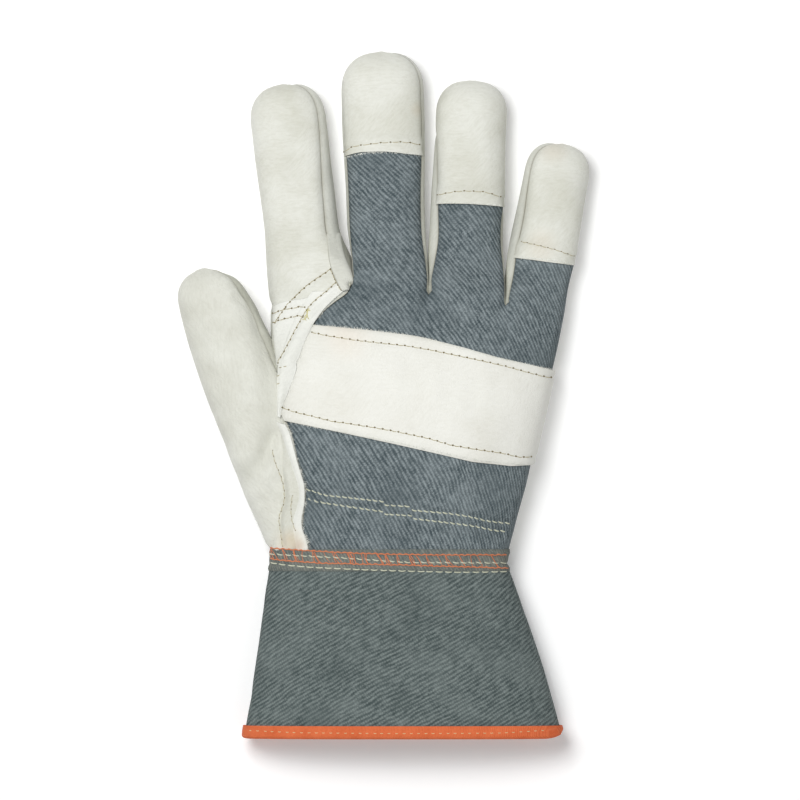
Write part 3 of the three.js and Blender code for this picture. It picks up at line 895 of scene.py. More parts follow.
    def finger_rows(self, finger: Finger) -> list[tuple[float, str, float]]:
        """Rows of a finger: distance from its base, part, and share of the hem's bend.

        Args:
            finger: its sizes.

        Returns:
            The rows, from base to end.
        """
        dome = finger.end / 2
        cap = finger.cap * finger.length
        spans = (
            (0.0, cap, "low"),
            (cap, cap + self.cap_lap, "lap"),
            (cap + self.cap_lap, finger.length - dome, "high"),
        )
        rows = []
        for start, end, part in spans:
            steps = max(3, round((end - start) / self.step))
            for k in range(1, steps + 1):
                distance = lerp(start, end, k / steps)
                rows.append((distance, part, math.exp(-(((distance - cap) / self.hem_fade) ** 2))))
        for k in range(1, self.dome_rows + 1):
            angle = self.dome_turn * math.pi * k / (2 * self.dome_rows)
            rows.append((finger.length - dome * (1 - math.sin(angle)), "high", 0.0))
        return rows


@dataclass
class Hand:
    """The glove's body: palm, back, fingers and the strips between them."""

    form: Form = field(default_factory=Form)
    relief: tuple[Groove, ...] = ()
    bands: tuple[tuple[str, float], ...] = (("low", 47.0), ("strap", 40.0), ("knuckle", 24.0))
    evening: int = 5
    hem_sink: float = 0.75
    hem_reach: float = 1.9

    def build(self, shift: Array) -> None:
        """Builds the whole surface.

        Args:
            shift: from the wrist's middle to the frame.
        """
        form = self.form
        surface = self.surface = Surface()
        rows = [("low", 0.0)]
        for band, length in self.bands:
            steps = round(length / form.step)
            rows += [(band, k / steps) for k in range(1, steps + 1)]
        rings = [[surface.add(point) for point in form.ring(*row)] for row in rows]
        count = len(form.fingers) * form.across
        self.sole_from = count + form.side
        for first, second, (band, _) in zip(rings, rings[1:], rows[1:]):
            labels = [f"hem-{band}"] * form.across
            labels += [f"cloth-{band}"] * (count + form.cloth_turn - form.across)
            labels += [f"side-{band}"] * (form.side - form.cloth_turn)
            labels += ["palm"] * (len(first) - self.sole_from)
            surface.strip(first, second, labels)
        self.top = rings[-1]
        inner = [self.crotch(f) for f in range(len(form.fingers))]
        inner.append([self.top[count + 1 + k] for k in range(form.side - 1)])
        for f in range(len(form.fingers)):
            self.add_finger(f, inner[f], inner[f + 1])
        surface.settle(shift, self.evening, rings[0])
        self.offset = self.raised(surface.points, surface.normals)

    def back(self, k: int) -> int:
        """Point of the back's last row."""
        return self.top[k]

    def palm(self, k: int) -> int:
        """Point of the palm's last row."""
        return self.top[self.sole_from + len(self.form.fingers) * self.form.across - k]

    def crotch(self, f: int) -> list[int]:
        """Inner points of the crotch on the thumb's side of a finger, from back to palm.

        Args:
            f: number of the finger.

        Returns:
            Numbers of the points.
        """
        side = self.form.side
        if f == 0:
            return [self.top[len(self.top) - 1 - k] for k in range(side - 1)]
        start = self.surface.rows[self.back(f * self.form.across)]
        end = self.surface.rows[self.palm(f * self.form.across)]
        return [self.surface.add(lerp(start, end, (k + 1) / side)) for k in range(side - 1)]

    def add_finger(self, f: int, left: list[int], right: list[int]) -> None:
        """Carries the hand's last row out into a finger.

        Args:
            f: number of the finger.
            left: inner points of its crotch on the thumb's side.
            right: inner points of the other crotch.
        """
        form, surface = self.form, self.surface
        finger = form.fingers[f]
        start = f * form.across
        base = [self.back(start + k) for k in range(form.across + 1)] + right
        base += [self.palm(start + form.across - k) for k in range(form.across)]
        base += [self.palm(start)] + left[::-1]
        root = (surface.rows[base[0]] + surface.rows[base[form.across]]) / 2
        root = root + np.array([finger.shift, 0, 0])
        lean = math.radians(finger.lean)
        axis = np.array([math.sin(lean), math.cos(lean), 0.0])
        ring = base
        for distance, part, hem in form.finger_rows(finger):
            share = smooth(distance / (form.blend_share * finger.length))
            tube = form.finger_ring(finger, root, distance, hem)
            following = []
            for i, point in enumerate(tube):
                carried = surface.rows[base[i]] + axis * distance
                carried[2] = min(carried[2], lerp(carried[2], finger.thick, share))
                following.append(surface.add(lerp(carried, point, share)))
            surface.strip(ring, following, [self.label(finger, i, part) for i in range(len(ring))])
            ring = following
        self.close_tip(finger, ring, axis)

    def label(self, finger: Finger, i: int, part: str) -> str:
        """Label of a finger's face.

        Args:
            finger: its sizes.
            i: place of the face in its ring.
            part: low, lap or high.

        Returns:
            The label.
        """
        across, side = self.form.across, self.form.side
        turned = self.form.cloth_turn if finger is self.form.fingers[-1] else 0
        if i < across + turned:
            return f"{finger.name}-back-{part}"
        if i < across + side:
            return f"{finger.name}-right"
        return "palm" if i < 2 * across + side else f"{finger.name}-left"

    def close_tip(self, finger: Finger, ring: list[int], axis: Array) -> None:
        """Closes a finger's end with a grid of quads.

        Args:
            finger: its sizes.
            ring: its last points.
            axis: way that it points.
        """
        surface, m, n = self.surface, self.form.across, self.form.side
        grid = [[0] * (m + 1) for _ in range(n + 1)]
        for k in range(m + 1):
            grid[0][k] = ring[k]
            grid[n][k] = ring[2 * m + n - k]
        for j in range(1, n):
            grid[j][m] = ring[m + j]
            grid[j][0] = ring[len(ring) - j]
            for k in range(1, m):
                point = lerp(surface.rows[ring[k]], surface.rows[ring[2 * m + n - k]], j / n)
                bulge = math.sin(math.pi * j / n) * math.sin(math.pi * k / m)
                grid[j][k] = surface.add(point + axis * (self.form.end_bulge * finger.end * bulge))
        for j in range(n):
            for k in range(m):
                corners = (grid[j][k], grid[j][k + 1], grid[j + 1][k + 1], grid[j + 1][k])
                surface.quad(*corners, f"{finger.name}-end")

    def raised(self, points: Array, normals: Array) -> Array:
        """Folds, puckers and pressed lines of the base layer, as an offset of each point.

        Args:
            points: of the surface.
            normals: theirs.

        Returns:
            One offset a point.
        """
        up = np.clip(normals[:, 2] * 1.6, 0, 1)
        result = 0.45 * noise(points, 17.0, 5) + 0.22 * noise(points * np.array([1.6, 0.7, 1.0]), 8.0, 9)
        result *= 0.4 + 0.6 * up
        for groove in self.relief:
            result += up * groove.offset(points[:, :2])
        return result

    def panel(
        self, labels: Labels, wall: float, lift: Optional[Array] = None, beside: Labels = (),
        clear: Optional[Callable[[Array], Array]] = None,
    ) -> Solid:
        """Closed panel of the base layer, pulled down along its sewn borders.

        Args:
            labels: of the faces it covers.
            wall: thickness.
            lift: offset above the base layer at each point.
            beside: labels whose shared border stays flat, as at a raw hem.
            clear: tells which faces to leave out.

        Returns:
            The solid.
        """
        quads = self.surface.faces(labels)
        if clear is not None:
            quads = quads[clear(quads)]
        sunk = np.exp(-((self.surface.to_border(quads, beside) / self.hem_reach) ** 2))
        outer = self.offset - self.hem_sink * sunk
        if lift is not None:
            outer = outer + lift
        return self.surface.shell(quads, outer, outer - wall, beside)

    def tip(self, finger: Finger) -> Solid:
        """Finger tip leather, whose raw hem lies on the cloth.

        Args:
            finger: its sizes.

        Returns:
            The solid.
        """
        surface, name = self.surface, finger.name
        labels = [f"{name}-back-lap", f"{name}-back-high", f"{name}-end"]
        tree = tree_of(surface.points, np.unique(surface.faces([f"{name}-back-low"])).tolist())
        quads = surface.faces(labels)
        lift = np.zeros(len(surface.points))
        for i in np.unique(quads).tolist():
            distance = tree.find(Vector(surface.points[i]))[2]
            facing = min(1.0, max(0.25, 1.5 * surface.normals[i, 2] - 0.1))
            lift[i] = (GAP + LEATHER) * facing * (1 - smooth((distance - 3.5) / 5.5))
            lift[i] -= self.hem_sink * math.exp(-(((distance - 2.6) / 0.8) ** 2))
        return self.panel(labels, LEATHER, lift, [f"{name}-back-low"])


@dataclass
class Thumb:
    """The thumb and the strip on its inner side, which is painted darker as shade."""

    reach: float = 36.4
    length: float = 111.0
    root: float = 5.0
    thick: float = 25.0
    centre: float = 14.5
    outer_out: Values = (0.0, 0.14, 0.31, 0.52, 0.71, 0.87, 0.97, 0.99, 0.92, 0.8)
    outer_up: Values = (0.0, 0.1, 0.23, 0.4, 0.57, 0.72, 0.84, 0.91, 0.963, 0.992)
    inner_out: Values = (-0.34, -0.34, -0.32, -0.29, -0.2, -0.055, 0.115, 0.235, 0.35, 0.5)
    inner_up: Values = (0.16, 0.28, 0.4, 0.51, 0.62, 0.745, 0.86, 0.92, 0.967, 0.994)
    plump: Values = (0.66, 0.86, 0.98, 1.0, 0.96, 0.9, 0.85, 0.76, 0.56, 0.3)
    rings: int = 72
    crowding: float = 1.15
    evening: int = 12
    gusset_sink: float = 0.9
    sides: tuple[tuple[float, float, int, str], ...] = (
        (0.86, 0.21, 22, "thumb"),
        (0.21, -0.14, 8, "gusset"),
        (-0.14, -0.86, 22, "thumb"),
        (-0.86, -1.14, 8, "thumb"),
    )
    end_rings: tuple[tuple[float, float], ...] = ((0.8, 0.55), (0.55, 0.95), (0.28, 1.15))
    folds: tuple[Groove, ...] = (
        Groove(((241, 281), (250, 305), (259, 328), (270, 356)), 0.5, 3.5),
        Groove(((262, 330), (268, 365), (270, 400), (268, 440)), 1.0, 4.5),
        Groove(((274, 436), (268, 452), (260, 465), (248, 474), (234, 480)), 1.5, 2.6, 0.6),
        Groove(((244, 288), (256, 300), (267, 322)), 0.5, 1.0, 0.2),
        Groove(((236, 296), (250, 312), (262, 335)), 0.4, 1.1, 0.2),
        Groove(((240, 312), (254, 330), (266, 352)), 0.35, 1.1, 0.2),
        Groove(((250, 338), (262, 356), (271, 372)), 0.35, 1.2, 0.2),
        Groove(((200, 330), (214, 380), (226, 420)), 0.5, 4.0),
        Groove(((246, 488), (262, 484), (276, 487)), 0.5, 1.5, 0.2),
        Groove(((254, 503), (266, 498), (278, 500)), 0.4, 1.4, 0.2),
    )

    def build(self, form: Form, shift: Array) -> None:
        """Builds its surface.

        Args:
            form: the hand's form, which it springs from.
            shift: from the wrist's middle to the frame.
        """
        side = form.section(self.root + self.length / 2).left
        surface = self.surface = Surface()
        spots = list(range(len(self.plump)))
        labels = [label for _, _, steps, label in self.sides for _ in range(steps)]
        rings = []
        for r in range(self.rings + 1):
            at = (len(spots) - 1) * (1 - (1 - r / self.rings) ** self.crowding)

            def value(column: Values) -> float:
                """Column of the sections at this ring."""
                return spline(spots, column, at)

            outer = np.array([side - value(self.outer_out) * self.reach,
                              self.root + value(self.outer_up) * self.length, self.centre])
            inner = np.array([side - value(self.inner_out) * self.reach,
                              self.root + value(self.inner_up) * self.length, self.centre])
            middle, half = (outer + inner) / 2, (inner - outer) / 2
            ring = []
            for start, end, steps, _ in self.sides:
                for k in range(steps):
                    angle = math.pi * lerp(start, end, k / steps)
                    point = middle + half * signed_power(math.cos(angle), 2 / form.crown_power)
                    rise = signed_power(math.sin(angle), 2 / form.crown_power)
                    point[2] += 0.5 * self.thick * value(self.plump) * rise
                    ring.append(surface.add(point))
            rings.append(ring)
        last = np.array([surface.rows[i] for i in rings[-1]])
        middle = last.mean(axis=0)
        for share, rise in self.end_rings:
            rings.append([surface.add(middle + (p - middle) * share + np.array([-0.2, rise, 0]))
                          for p in last])
        for first, second in zip(rings, rings[1:]):
            surface.strip(first, second, labels)
        ring = rings[-1]
        for i in range(len(ring) // 2 - 1):
            surface.quad(ring[i], ring[i + 1], ring[len(ring) - 2 - i], ring[len(ring) - 1 - i], "thumb")
        surface.settle(shift, self.evening, rings[0])
        points = surface.points
        self.offset = 0.4 * noise(points, 14.0, 31) + 0.2 * noise(points, 6.0, 33)
        up = np.clip(surface.normals[:, 2] * 1.4, 0, 1)
        for fold in self.folds:
            self.offset += up * fold.offset(points[:, :2])

    def panel(self, label: str, hidden: Callable[[Array], Array]) -> Solid:
        """One of its two leathers, without what lies deep in the hand.

        Args:
            label: thumb or gusset.
            hidden: tells which faces to keep.

        Returns:
            The solid.
        """
        quads = self.surface.faces([label])
        quads = quads[hidden(quads)]
        roll = -1.1 * np.exp(-((self.surface.to_border(quads) / 2.0) ** 2))
        outer = self.offset + roll - (self.gusset_sink if label == "gusset" else 0.0)
        return self.surface.shell(quads, outer, outer - LEATHER)


def outside(points: Array, solid: Surface, depth: float) -> Array:
    """Tells which points are not deep inside a surface.

    Args:
        points: places to test.
        solid: the surface they may lie in.
        depth: how deep counts as inside.

    Returns:
        True where a point is outside.
    """
    tree = BVHTree.FromPolygons(solid.points.tolist(), solid.quads.tolist())
    result = np.ones(len(points), bool)
    for i, point in enumerate(points):
        spot, normal, _, _ = tree.find_nearest(Vector(point), 30.0)
        if spot is not None:
            result[i] = (Vector(point) - spot).dot(normal) > -depth
    return result


@dataclass
class Cuff:
    """Flared cuff of stiff twill with its orange binding and the band over the wrist seam."""

    form: Form
    binding: float = 3.7
    band_width: float = 9.0
    band_above: float = 6.0
    rows: int = 42

    def build(self, shift: Array) -> None:
        """Builds its surface, from the mouth up.

        Args:
            shift: from the wrist's middle to the frame.
        """
        form = self.form
        surface = self.surface = Surface()
        binding = 1 - self.binding / form.cuff_length
        band = (self.band_width - self.band_above) / form.cuff_length
        through = [lerp(1.0, binding, k / 4) for k in range(5)]
        through += [lerp(binding, band, k / self.rows) for k in range(1, self.rows + 1)]
        through += [lerp(band, 0.0, k / 3) for k in range(1, 4)]
        rings = [[surface.add(p) for p in form.ring("cuff", t)] for t in through]
        seam = form.ring("low", 0.0)
        first = form.ring("low", 0.2)
        for k in range(1, 5):
            ring = []
            for low, high in zip(seam, first):
                share = self.band_above * k / 4 / (high[1] - low[1])
                ring.append(surface.add(lerp(low, high, share)))
            rings.append(ring)
        for r in range(len(rings) - 1):
            label = "binding" if r < 4 else "plain"
            if r >= len(rings) - 8:
                label = "band" if r < len(rings) - 5 else "above"
            surface.strip(rings[r], rings[r + 1], [label] * len(rings[r]))
        self.mouth, self.edge = rings[0], rings[4]
        surface.settle(shift, 1, rings[0] + rings[-1])
        points = surface.points
        drop = np.clip((points[:, 1].max() - points[:, 1] - 8) / 25, 0, 1)
        wave = 0.7 * noise(points * np.array([1.0, 0.45, 1.0]), 26.0, 41)
        rim = np.clip((points[:, 1] - points[:, 1].min() - 5) / 10, 0, 1)
        self.offset = drop * rim * wave + 0.15 * rim * noise(points, 7.0, 42)
        near = np.exp(-(((points[:, 1].max() - points[:, 1] - 6) / 7) ** 2))
        self.offset += near * 0.22 * noise(points * np.array([1.0, 0.12, 1.0]), 3.2, 44)

    def body(self) -> Solid:
        """The cuff's cloth, down into the binding."""
        quads = self.surface.faces(["binding", "plain", "band"])
        return self.surface.shell(quads, self.offset, self.offset - CUFF_CLOTH)

    def band(self) -> Solid:
        """Cloth edge over the wrist seam.

        Returns:
            The solid.
        """
        quads = self.surface.faces(["band", "above"])
        distance = self.surface.to_border(quads)
        outer = 0.12 + 0.5 * np.sqrt(np.clip(distance / 0.9, 0.02, 1)) + self.offset * 0.5
        middle = np.exp(-((distance - 3.3) / 0.9) ** 2)
        return self.surface.shell(quads, outer - 0.2 * middle, np.full(len(outer), 0.02))

    def tape(self) -> Solid:
        """Tape folded round the mouth: one closed section carried round the rim.

        Returns:
            The solid.
        """
        surface = self.surface
        out, into = GAP, -CUFF_CLOTH - GAP
        middle = (out + into) / 2
        half = (out - into) / 2 + TAPE
        section = [(4, out + TAPE * 0.55, 0.0), (4, out + TAPE, -0.35), (2, out + TAPE * 1.15, 0.0)]
        for k in range(9):
            angle = math.pi * (0.5 - k / 8)
            section.append((0, middle + half * math.sin(angle), (GAP + TAPE) * math.cos(angle)))
        section += [(4, into - TAPE, 0.0), (4, into, 0.0), (0, into, 0.0), (0, middle, GAP), (0, out, 0.0),
                    (4, out, 0.0)]
        count = len(self.mouth)
        rings = []
        for i in range(count):
            ids = {0: self.mouth[i], 4: self.edge[i]}
            ids[2] = ids[0] + 2 * (ids[4] - ids[0]) // 4
            normal = surface.normals[ids[4]] * np.array([1.0, 0.0, 1.0])
            normal /= np.linalg.norm(normal)
            ripple = 0.12 * math.sin(i * 1.9) + self.offset[ids[4]]
            row = []
            for ring, offset, beyond in section:
                point = surface.points[ids[ring]] + normal * (offset + ripple)
                point[1] -= beyond
                row.append(point)
            rings.append(row)
        size = len(section)
        faces = []
        for i in range(count):
            j = (i + 1) % count
            for k in range(size):
                n = (k + 1) % size
                faces.append([i * size + k, i * size + n, j * size + n, j * size + k])
        points = np.array(rings).reshape(-1, 3)
        points[:, 2] = np.maximum(points[:, 2], 0)
        return Solid(points, faces)


@dataclass(frozen=True)
class Sheet:
    """Leather layer laid on the glove between two traced edges."""

    near: Line
    far: Line
    thickness: float = 0.9
    lift: float = 0.1
    step: float = 0.8
    grooves: tuple[Groove, ...] = ()
    ends: Optional[tuple[Line, Line]] = None
    fade: float = 0.0
    flush: bool = False
    bridge: float = 1.3
    # A shaded sheet takes the darker side leather, which is painted shade.
    shaded: bool = False

    def build(self, drape: Drape) -> Solid:
        """Lays the sheet on what is there.

        Args:
            drape: what has been laid so far.

        Returns:
            The sheet as a closed solid with rounded edges.
        """
        near, far = softened(plan(self.near)), softened(plan(self.far))
        span = float(np.linalg.norm(near - np.resize(far, near.shape), axis=1).mean())
        if len(near) != len(far):
            span = float(np.linalg.norm(near.mean(axis=0) - far.mean(axis=0)))
        length = max(arc(near)[-1], arc(far)[-1])
        us = self.places(length)
        vs = self.places(max(span, 2.0))
        edge_near = along(near, us * arc(near)[-1])
        edge_far = along(far, us * arc(far)[-1])
        flat = edge_near[:, None] * (1 - vs)[None, :, None] + edge_far[:, None] * vs[None, :, None]
        if self.ends is not None:
            for line, share in ((self.ends[0], 1 - us), (self.ends[1], us)):
                end = plan(line)
                bent = along(end, vs * arc(end)[-1])
                straight = lerp(bent[0], bent[-1], vs[:, None])
                flat += share[:, None, None] * (bent - straight)[None]
        n, m = len(us), len(vs)
        height = np.array([[drape.touch(*flat[i, j])[0][2] for j in range(m)] for i in range(n)])
        first = height
        for _ in range(round(11 * self.bridge)):
            padded = np.pad(height, 1, mode="edge")
            around = padded[:-2, 1:-1] + padded[2:, 1:-1] + padded[1:-1, :-2] + padded[1:-1, 2:]
            height = np.clip((around + 4 * height) / 8, first - 0.3, first + self.bridge)
        rim = np.minimum.outer(np.minimum(us, 1 - us) * length, np.minimum(vs, 1 - vs) * span)
        full = np.sqrt(1 - (1 - np.clip(rim / (0.7 * self.thickness), 0, 1)) ** 2)
        grown = np.clip(us / self.fade, 0, 1)[:, None] if self.fade else np.ones((len(us), 1))
        if self.flush:
            grown = grown * np.clip(vs * span / 1.6, 0, 1)[None, :]
        places = flat.reshape(-1, 2)
        extra = 0.12 * noise(places, 5.0, 21)
        for groove in self.grooves:
            extra = extra + groove.offset(places)
        base = height.reshape(-1)
        body = (self.lift + self.thickness * (0.25 + 0.75 * full)) * grown
        top = base + body.reshape(-1) + extra
        points = np.vstack([np.column_stack([places, np.maximum(top, base + 0.03)]),
                            np.column_stack([places, base - 0.25])])
        faces = []
        flip = np.cross(flat[1, 0] - flat[0, 0], flat[0, 1] - flat[0, 0]) < 0
        for i in range(n - 1):
            for j in range(m - 1):
                a, b, c, d = i * m + j, (i + 1) * m + j, (i + 1) * m + j + 1, i * m + j + 1
                faces.append([a, b, c, d])
                faces.append([d + n * m, c + n * m, b + n * m, a + n * m])
        border = [i * m for i in range(n)] + [(n - 1) * m + j for j in range(1, m)]
        border += [i * m + m - 1 for i in range(n - 2, -1, -1)] + list(range(m - 2, 0, -1))
        for k, a in enumerate(border):
            b = border[(k + 1) % len(border)]
            faces.append([b, a, a + n * m, b + n * m])
        if flip:
            faces = [face[::-1] for face in faces]
        # Nearness to the open rim, which the finish paints as a shadow line along the raw edge, with some
        # dirt.
        open_side = 1.0 if not self.flush else np.clip(vs, 0, 0.3)[None, :] / 0.3
        worn_and_edge_shaded = (np.exp(-((rim / 0.45) ** 2)) * open_side).reshape(-1)
        return Solid(points, faces, np.concatenate([worn_and_edge_shaded, worn_and_edge_shaded]))

    def places(self, length: float) -> Array:
        """Shares along a side, closer together near its two ends.

        Args:
            length: of the side.

        Returns:
            Shares from 0 to 1.
        """
        inner = np.arange(1.2, max(length - 1.0, 1.3), self.step) / length
        close = np.array([0.0, 0.18, 0.5, 0.8]) * min(1.0, length / 4) / length
        shares = np.concatenate([close, inner[inner < 1 - 1.2 / length], 1 - close])
        return np.unique(np.round(shares, 6))


class Thread(Enum):
    """Kinds of thread on the glove."""

    TAN = "tan"
    CREAM = "cream"
    ORANGE = "orange"
    YELLOW = "yellow"


@dataclass(frozen=True)
class StitchRow:
    """Row of stitches along a traced line; dash and gap are in millimetres."""

    line: Line
    thread: Thread = Thread.TAN
    dash: float = 2.15
    gap: float = 0.5
    radius: float = 0.15
    sink: float = 0.3
    slant: float = 0.0
    sag: float = 0.2
    # Radius of the dark dots painted as shadow where the needle went through; 0 for none.
    hole_shadow: float = 0.36

    def build(self, drape: Drape) -> list[Solid]:
        """Sews the row onto what is there.

        Args:
            drape: what has been laid.

        Returns:
            One solid a stitch.
        """
        line = plan(self.line)
        total = arc(line)[-1]
        count = self.count()
        pitch = total / count
        solids = []
        uneven = noise(np.arange(count, dtype=float)[:, None] * 1.7 + total, 1.0, 61)
        for k in range(count):
            start = (k + 0.06 * uneven[k]) * pitch
            size = pitch * self.dash / (self.dash + self.gap) * (1 + 0.08 * uneven[(k * 3) % count])
            spots = along(line, start + np.linspace(0, size, 7))
            way = spots[-1] - spots[0]
            side = np.array([-way[1], way[0]]) / max(np.linalg.norm(way), 1e-6)
            bow = np.sin(np.linspace(0, math.pi, 7))[:, None]
            spots = spots + side * (np.linspace(-0.5, 0.5, 7)[:, None] * self.slant - self.sag * bow)
            path = []
            for j, spot in enumerate(spots):
                point, normal = drape.touch(*spot)
                dip = (abs(j - 3) / 3) ** 3
                path.append(point + normal * (self.radius * 0.5 - self.sink * dip))
            solids.append(rope(np.array(path), self.radius, 6, 0.55))
        return solids

    def count(self) -> int:
        """Number of stitches."""
        return max(1, round(arc(plan(self.line))[-1] / (self.dash + self.gap)))

    def hole_shadows(self, drape: Drape) -> list[Solid]:
        """Dark dots of painted shadow where the thread goes through the leather, between the stitches.

        Args:
            drape: what has been laid.

        Returns:
            One solid a hole.
        """
        if not self.hole_shadow:
            return []
        line = plan(self.line)
        pitch = arc(line)[-1] / self.count()
        solids = []
        for k in range(self.count() + 1):
            middle = k * pitch - self.gap / 2
            path = []
            for shift in (-0.36, 0.0, 0.36):
                point, normal = drape.touch(*along(line, np.array([middle + shift]))[0])
                path.append(point + normal * (0.1 - 0.3 * abs(shift)))
            solids.append(rope(np.array(path), self.hole_shadow, 6, 0.6))
        return solids


def rope(path: Array, radius: Union[float, Array], sides: int = 6, taper: float = 1.0) -> Solid:
    """Closed tube along a path.

    Args:
        path: points of its middle line.
        radius: one for all points, or one each.
        sides: of its section.
        taper: radius of the two ends, as a share.

    Returns:
        The tube.
    """
    count = len(path)
    size = np.full(count, radius) if np.isscalar(radius) else np.array(radius, float)
    size[0] *= taper
    size[-1] *= taper
    way = unit(np.gradient(path, axis=0))
    across = unit(np.cross(way, np.tile([0.0, 0.0, 1.0], (count, 1))), 1e-6)
    up = np.cross(across, way)
    points = []
    for k in range(sides):
        angle = 2 * math.pi * k / sides
        points.append(path + size[:, None] * (across * math.cos(angle) + up * math.sin(angle)))
    grid = np.array(points).transpose(1, 0, 2).reshape(-1, 3)
    faces = []
    for i in range(count - 1):
        for k in range(sides):
            n = (k + 1) % sides
            faces.append([i * sides + n, i * sides + k, (i + 1) * sides + k, (i + 1) * sides + n])
    faces.append(list(range(sides)))
    faces.append([(count - 1) * sides + k for k in reversed(range(sides))])
    return Solid(grid, faces)


@dataclass(frozen=True)
class Fuzz:
    """Loose fibres along a raw edge."""

    line: Line
    outward: float
    count: int = 60
    length: float = 1.1
    radius: float = 0.08
    seed: int = 1

    def build(self, drape: Drape) -> list[Solid]:
        """Scatters the fibres, each lying on what is there.

        Args:
            drape: what has been laid.

        Returns:
            One solid a fibre.
        """
        chance = np.random.default_rng(self.seed)
        line = plan(self.line)
        total = arc(line)[-1]
        solids = []
        for place in np.sort(chance.uniform(0, total, self.count)):
            spot = along(line, np.array([place, min(place + 0.3, total)]))
            way = spot[1] - spot[0]
            way /= max(np.linalg.norm(way), 1e-6)
            side = np.array([-way[1], way[0]]) * self.outward
            turn = chance.uniform(-1.1, 1.1)
            heading = side * math.cos(turn) + way * math.sin(turn)
            size = self.length * chance.uniform(0.35, 1.0)
            bend = chance.uniform(-0.35, 0.35) * size
            path = []
            for t in (-0.25, 0.3, 0.7, 1.0):
                flat = spot[0] + heading * (size * t) + way * (bend * t * t)
                point, _ = drape.touch(*flat)
                path.append(point + np.array([0, 0, 0.12 + 0.25 * max(t, 0) * chance.uniform(0, 1)]))
            thin = np.array([1.0, 0.9, 0.6, 0.25]) * self.radius * chance.uniform(0.7, 1.5)
            solids.append(rope(np.array(path), thin, 3))
        return solids


def tone(red: float, green: float, blue: float) -> Colour:
    """Linear colour of a picture's colour from 0 to 255."""
    values = (red / 255, green / 255, blue / 255)
    return tuple(v / 12.92 if v <= 0.04045 else ((v + 0.055) / 1.055) ** 2.4 for v in values)


def opened(colour: object) -> object:
    """Colour with its alpha, or a link as it is."""
    return (*colour, 1.0) if isinstance(colour, tuple) else colour


Number = Union["Signal", float, int]


class Signal:
    """A number that varies over a surface, with Python's operators."""

    def __init__(self, shader: "Shader", socket: Socket) -> None:
        """Wraps one output socket."""
        self.shader = shader
        self.socket = socket

    def apply(self, operation: str, *others: Number) -> "Signal":
        """Math node on this number and others."""
        return self.shader.calculate(operation, self, *others)

    def __add__(self, other: Number) -> "Signal":
        """Sum."""
        return self.apply("ADD", other)

    __radd__ = __add__

    def __sub__(self, other: Number) -> "Signal":
        """Difference."""
        return self.apply("SUBTRACT", other)

    def __rsub__(self, other: Number) -> "Signal":
        """Difference, from the right."""
        return self.shader.calculate("SUBTRACT", other, self)

    def __mul__(self, other: Number) -> "Signal":
        """Product."""
        return self.apply("MULTIPLY", other)

    __rmul__ = __mul__

    def wave(self, period: float = 1.0) -> "Signal":
        """Smooth wave from 0 to 1 along it."""
        return (self * (2 * math.pi / period)).apply("SINE") * 0.5 + 0.5

    def limited(self) -> "Signal":
        """The same, kept from 0 to 1."""
        return self.shader.ranged(self, 0.0, 1.0)


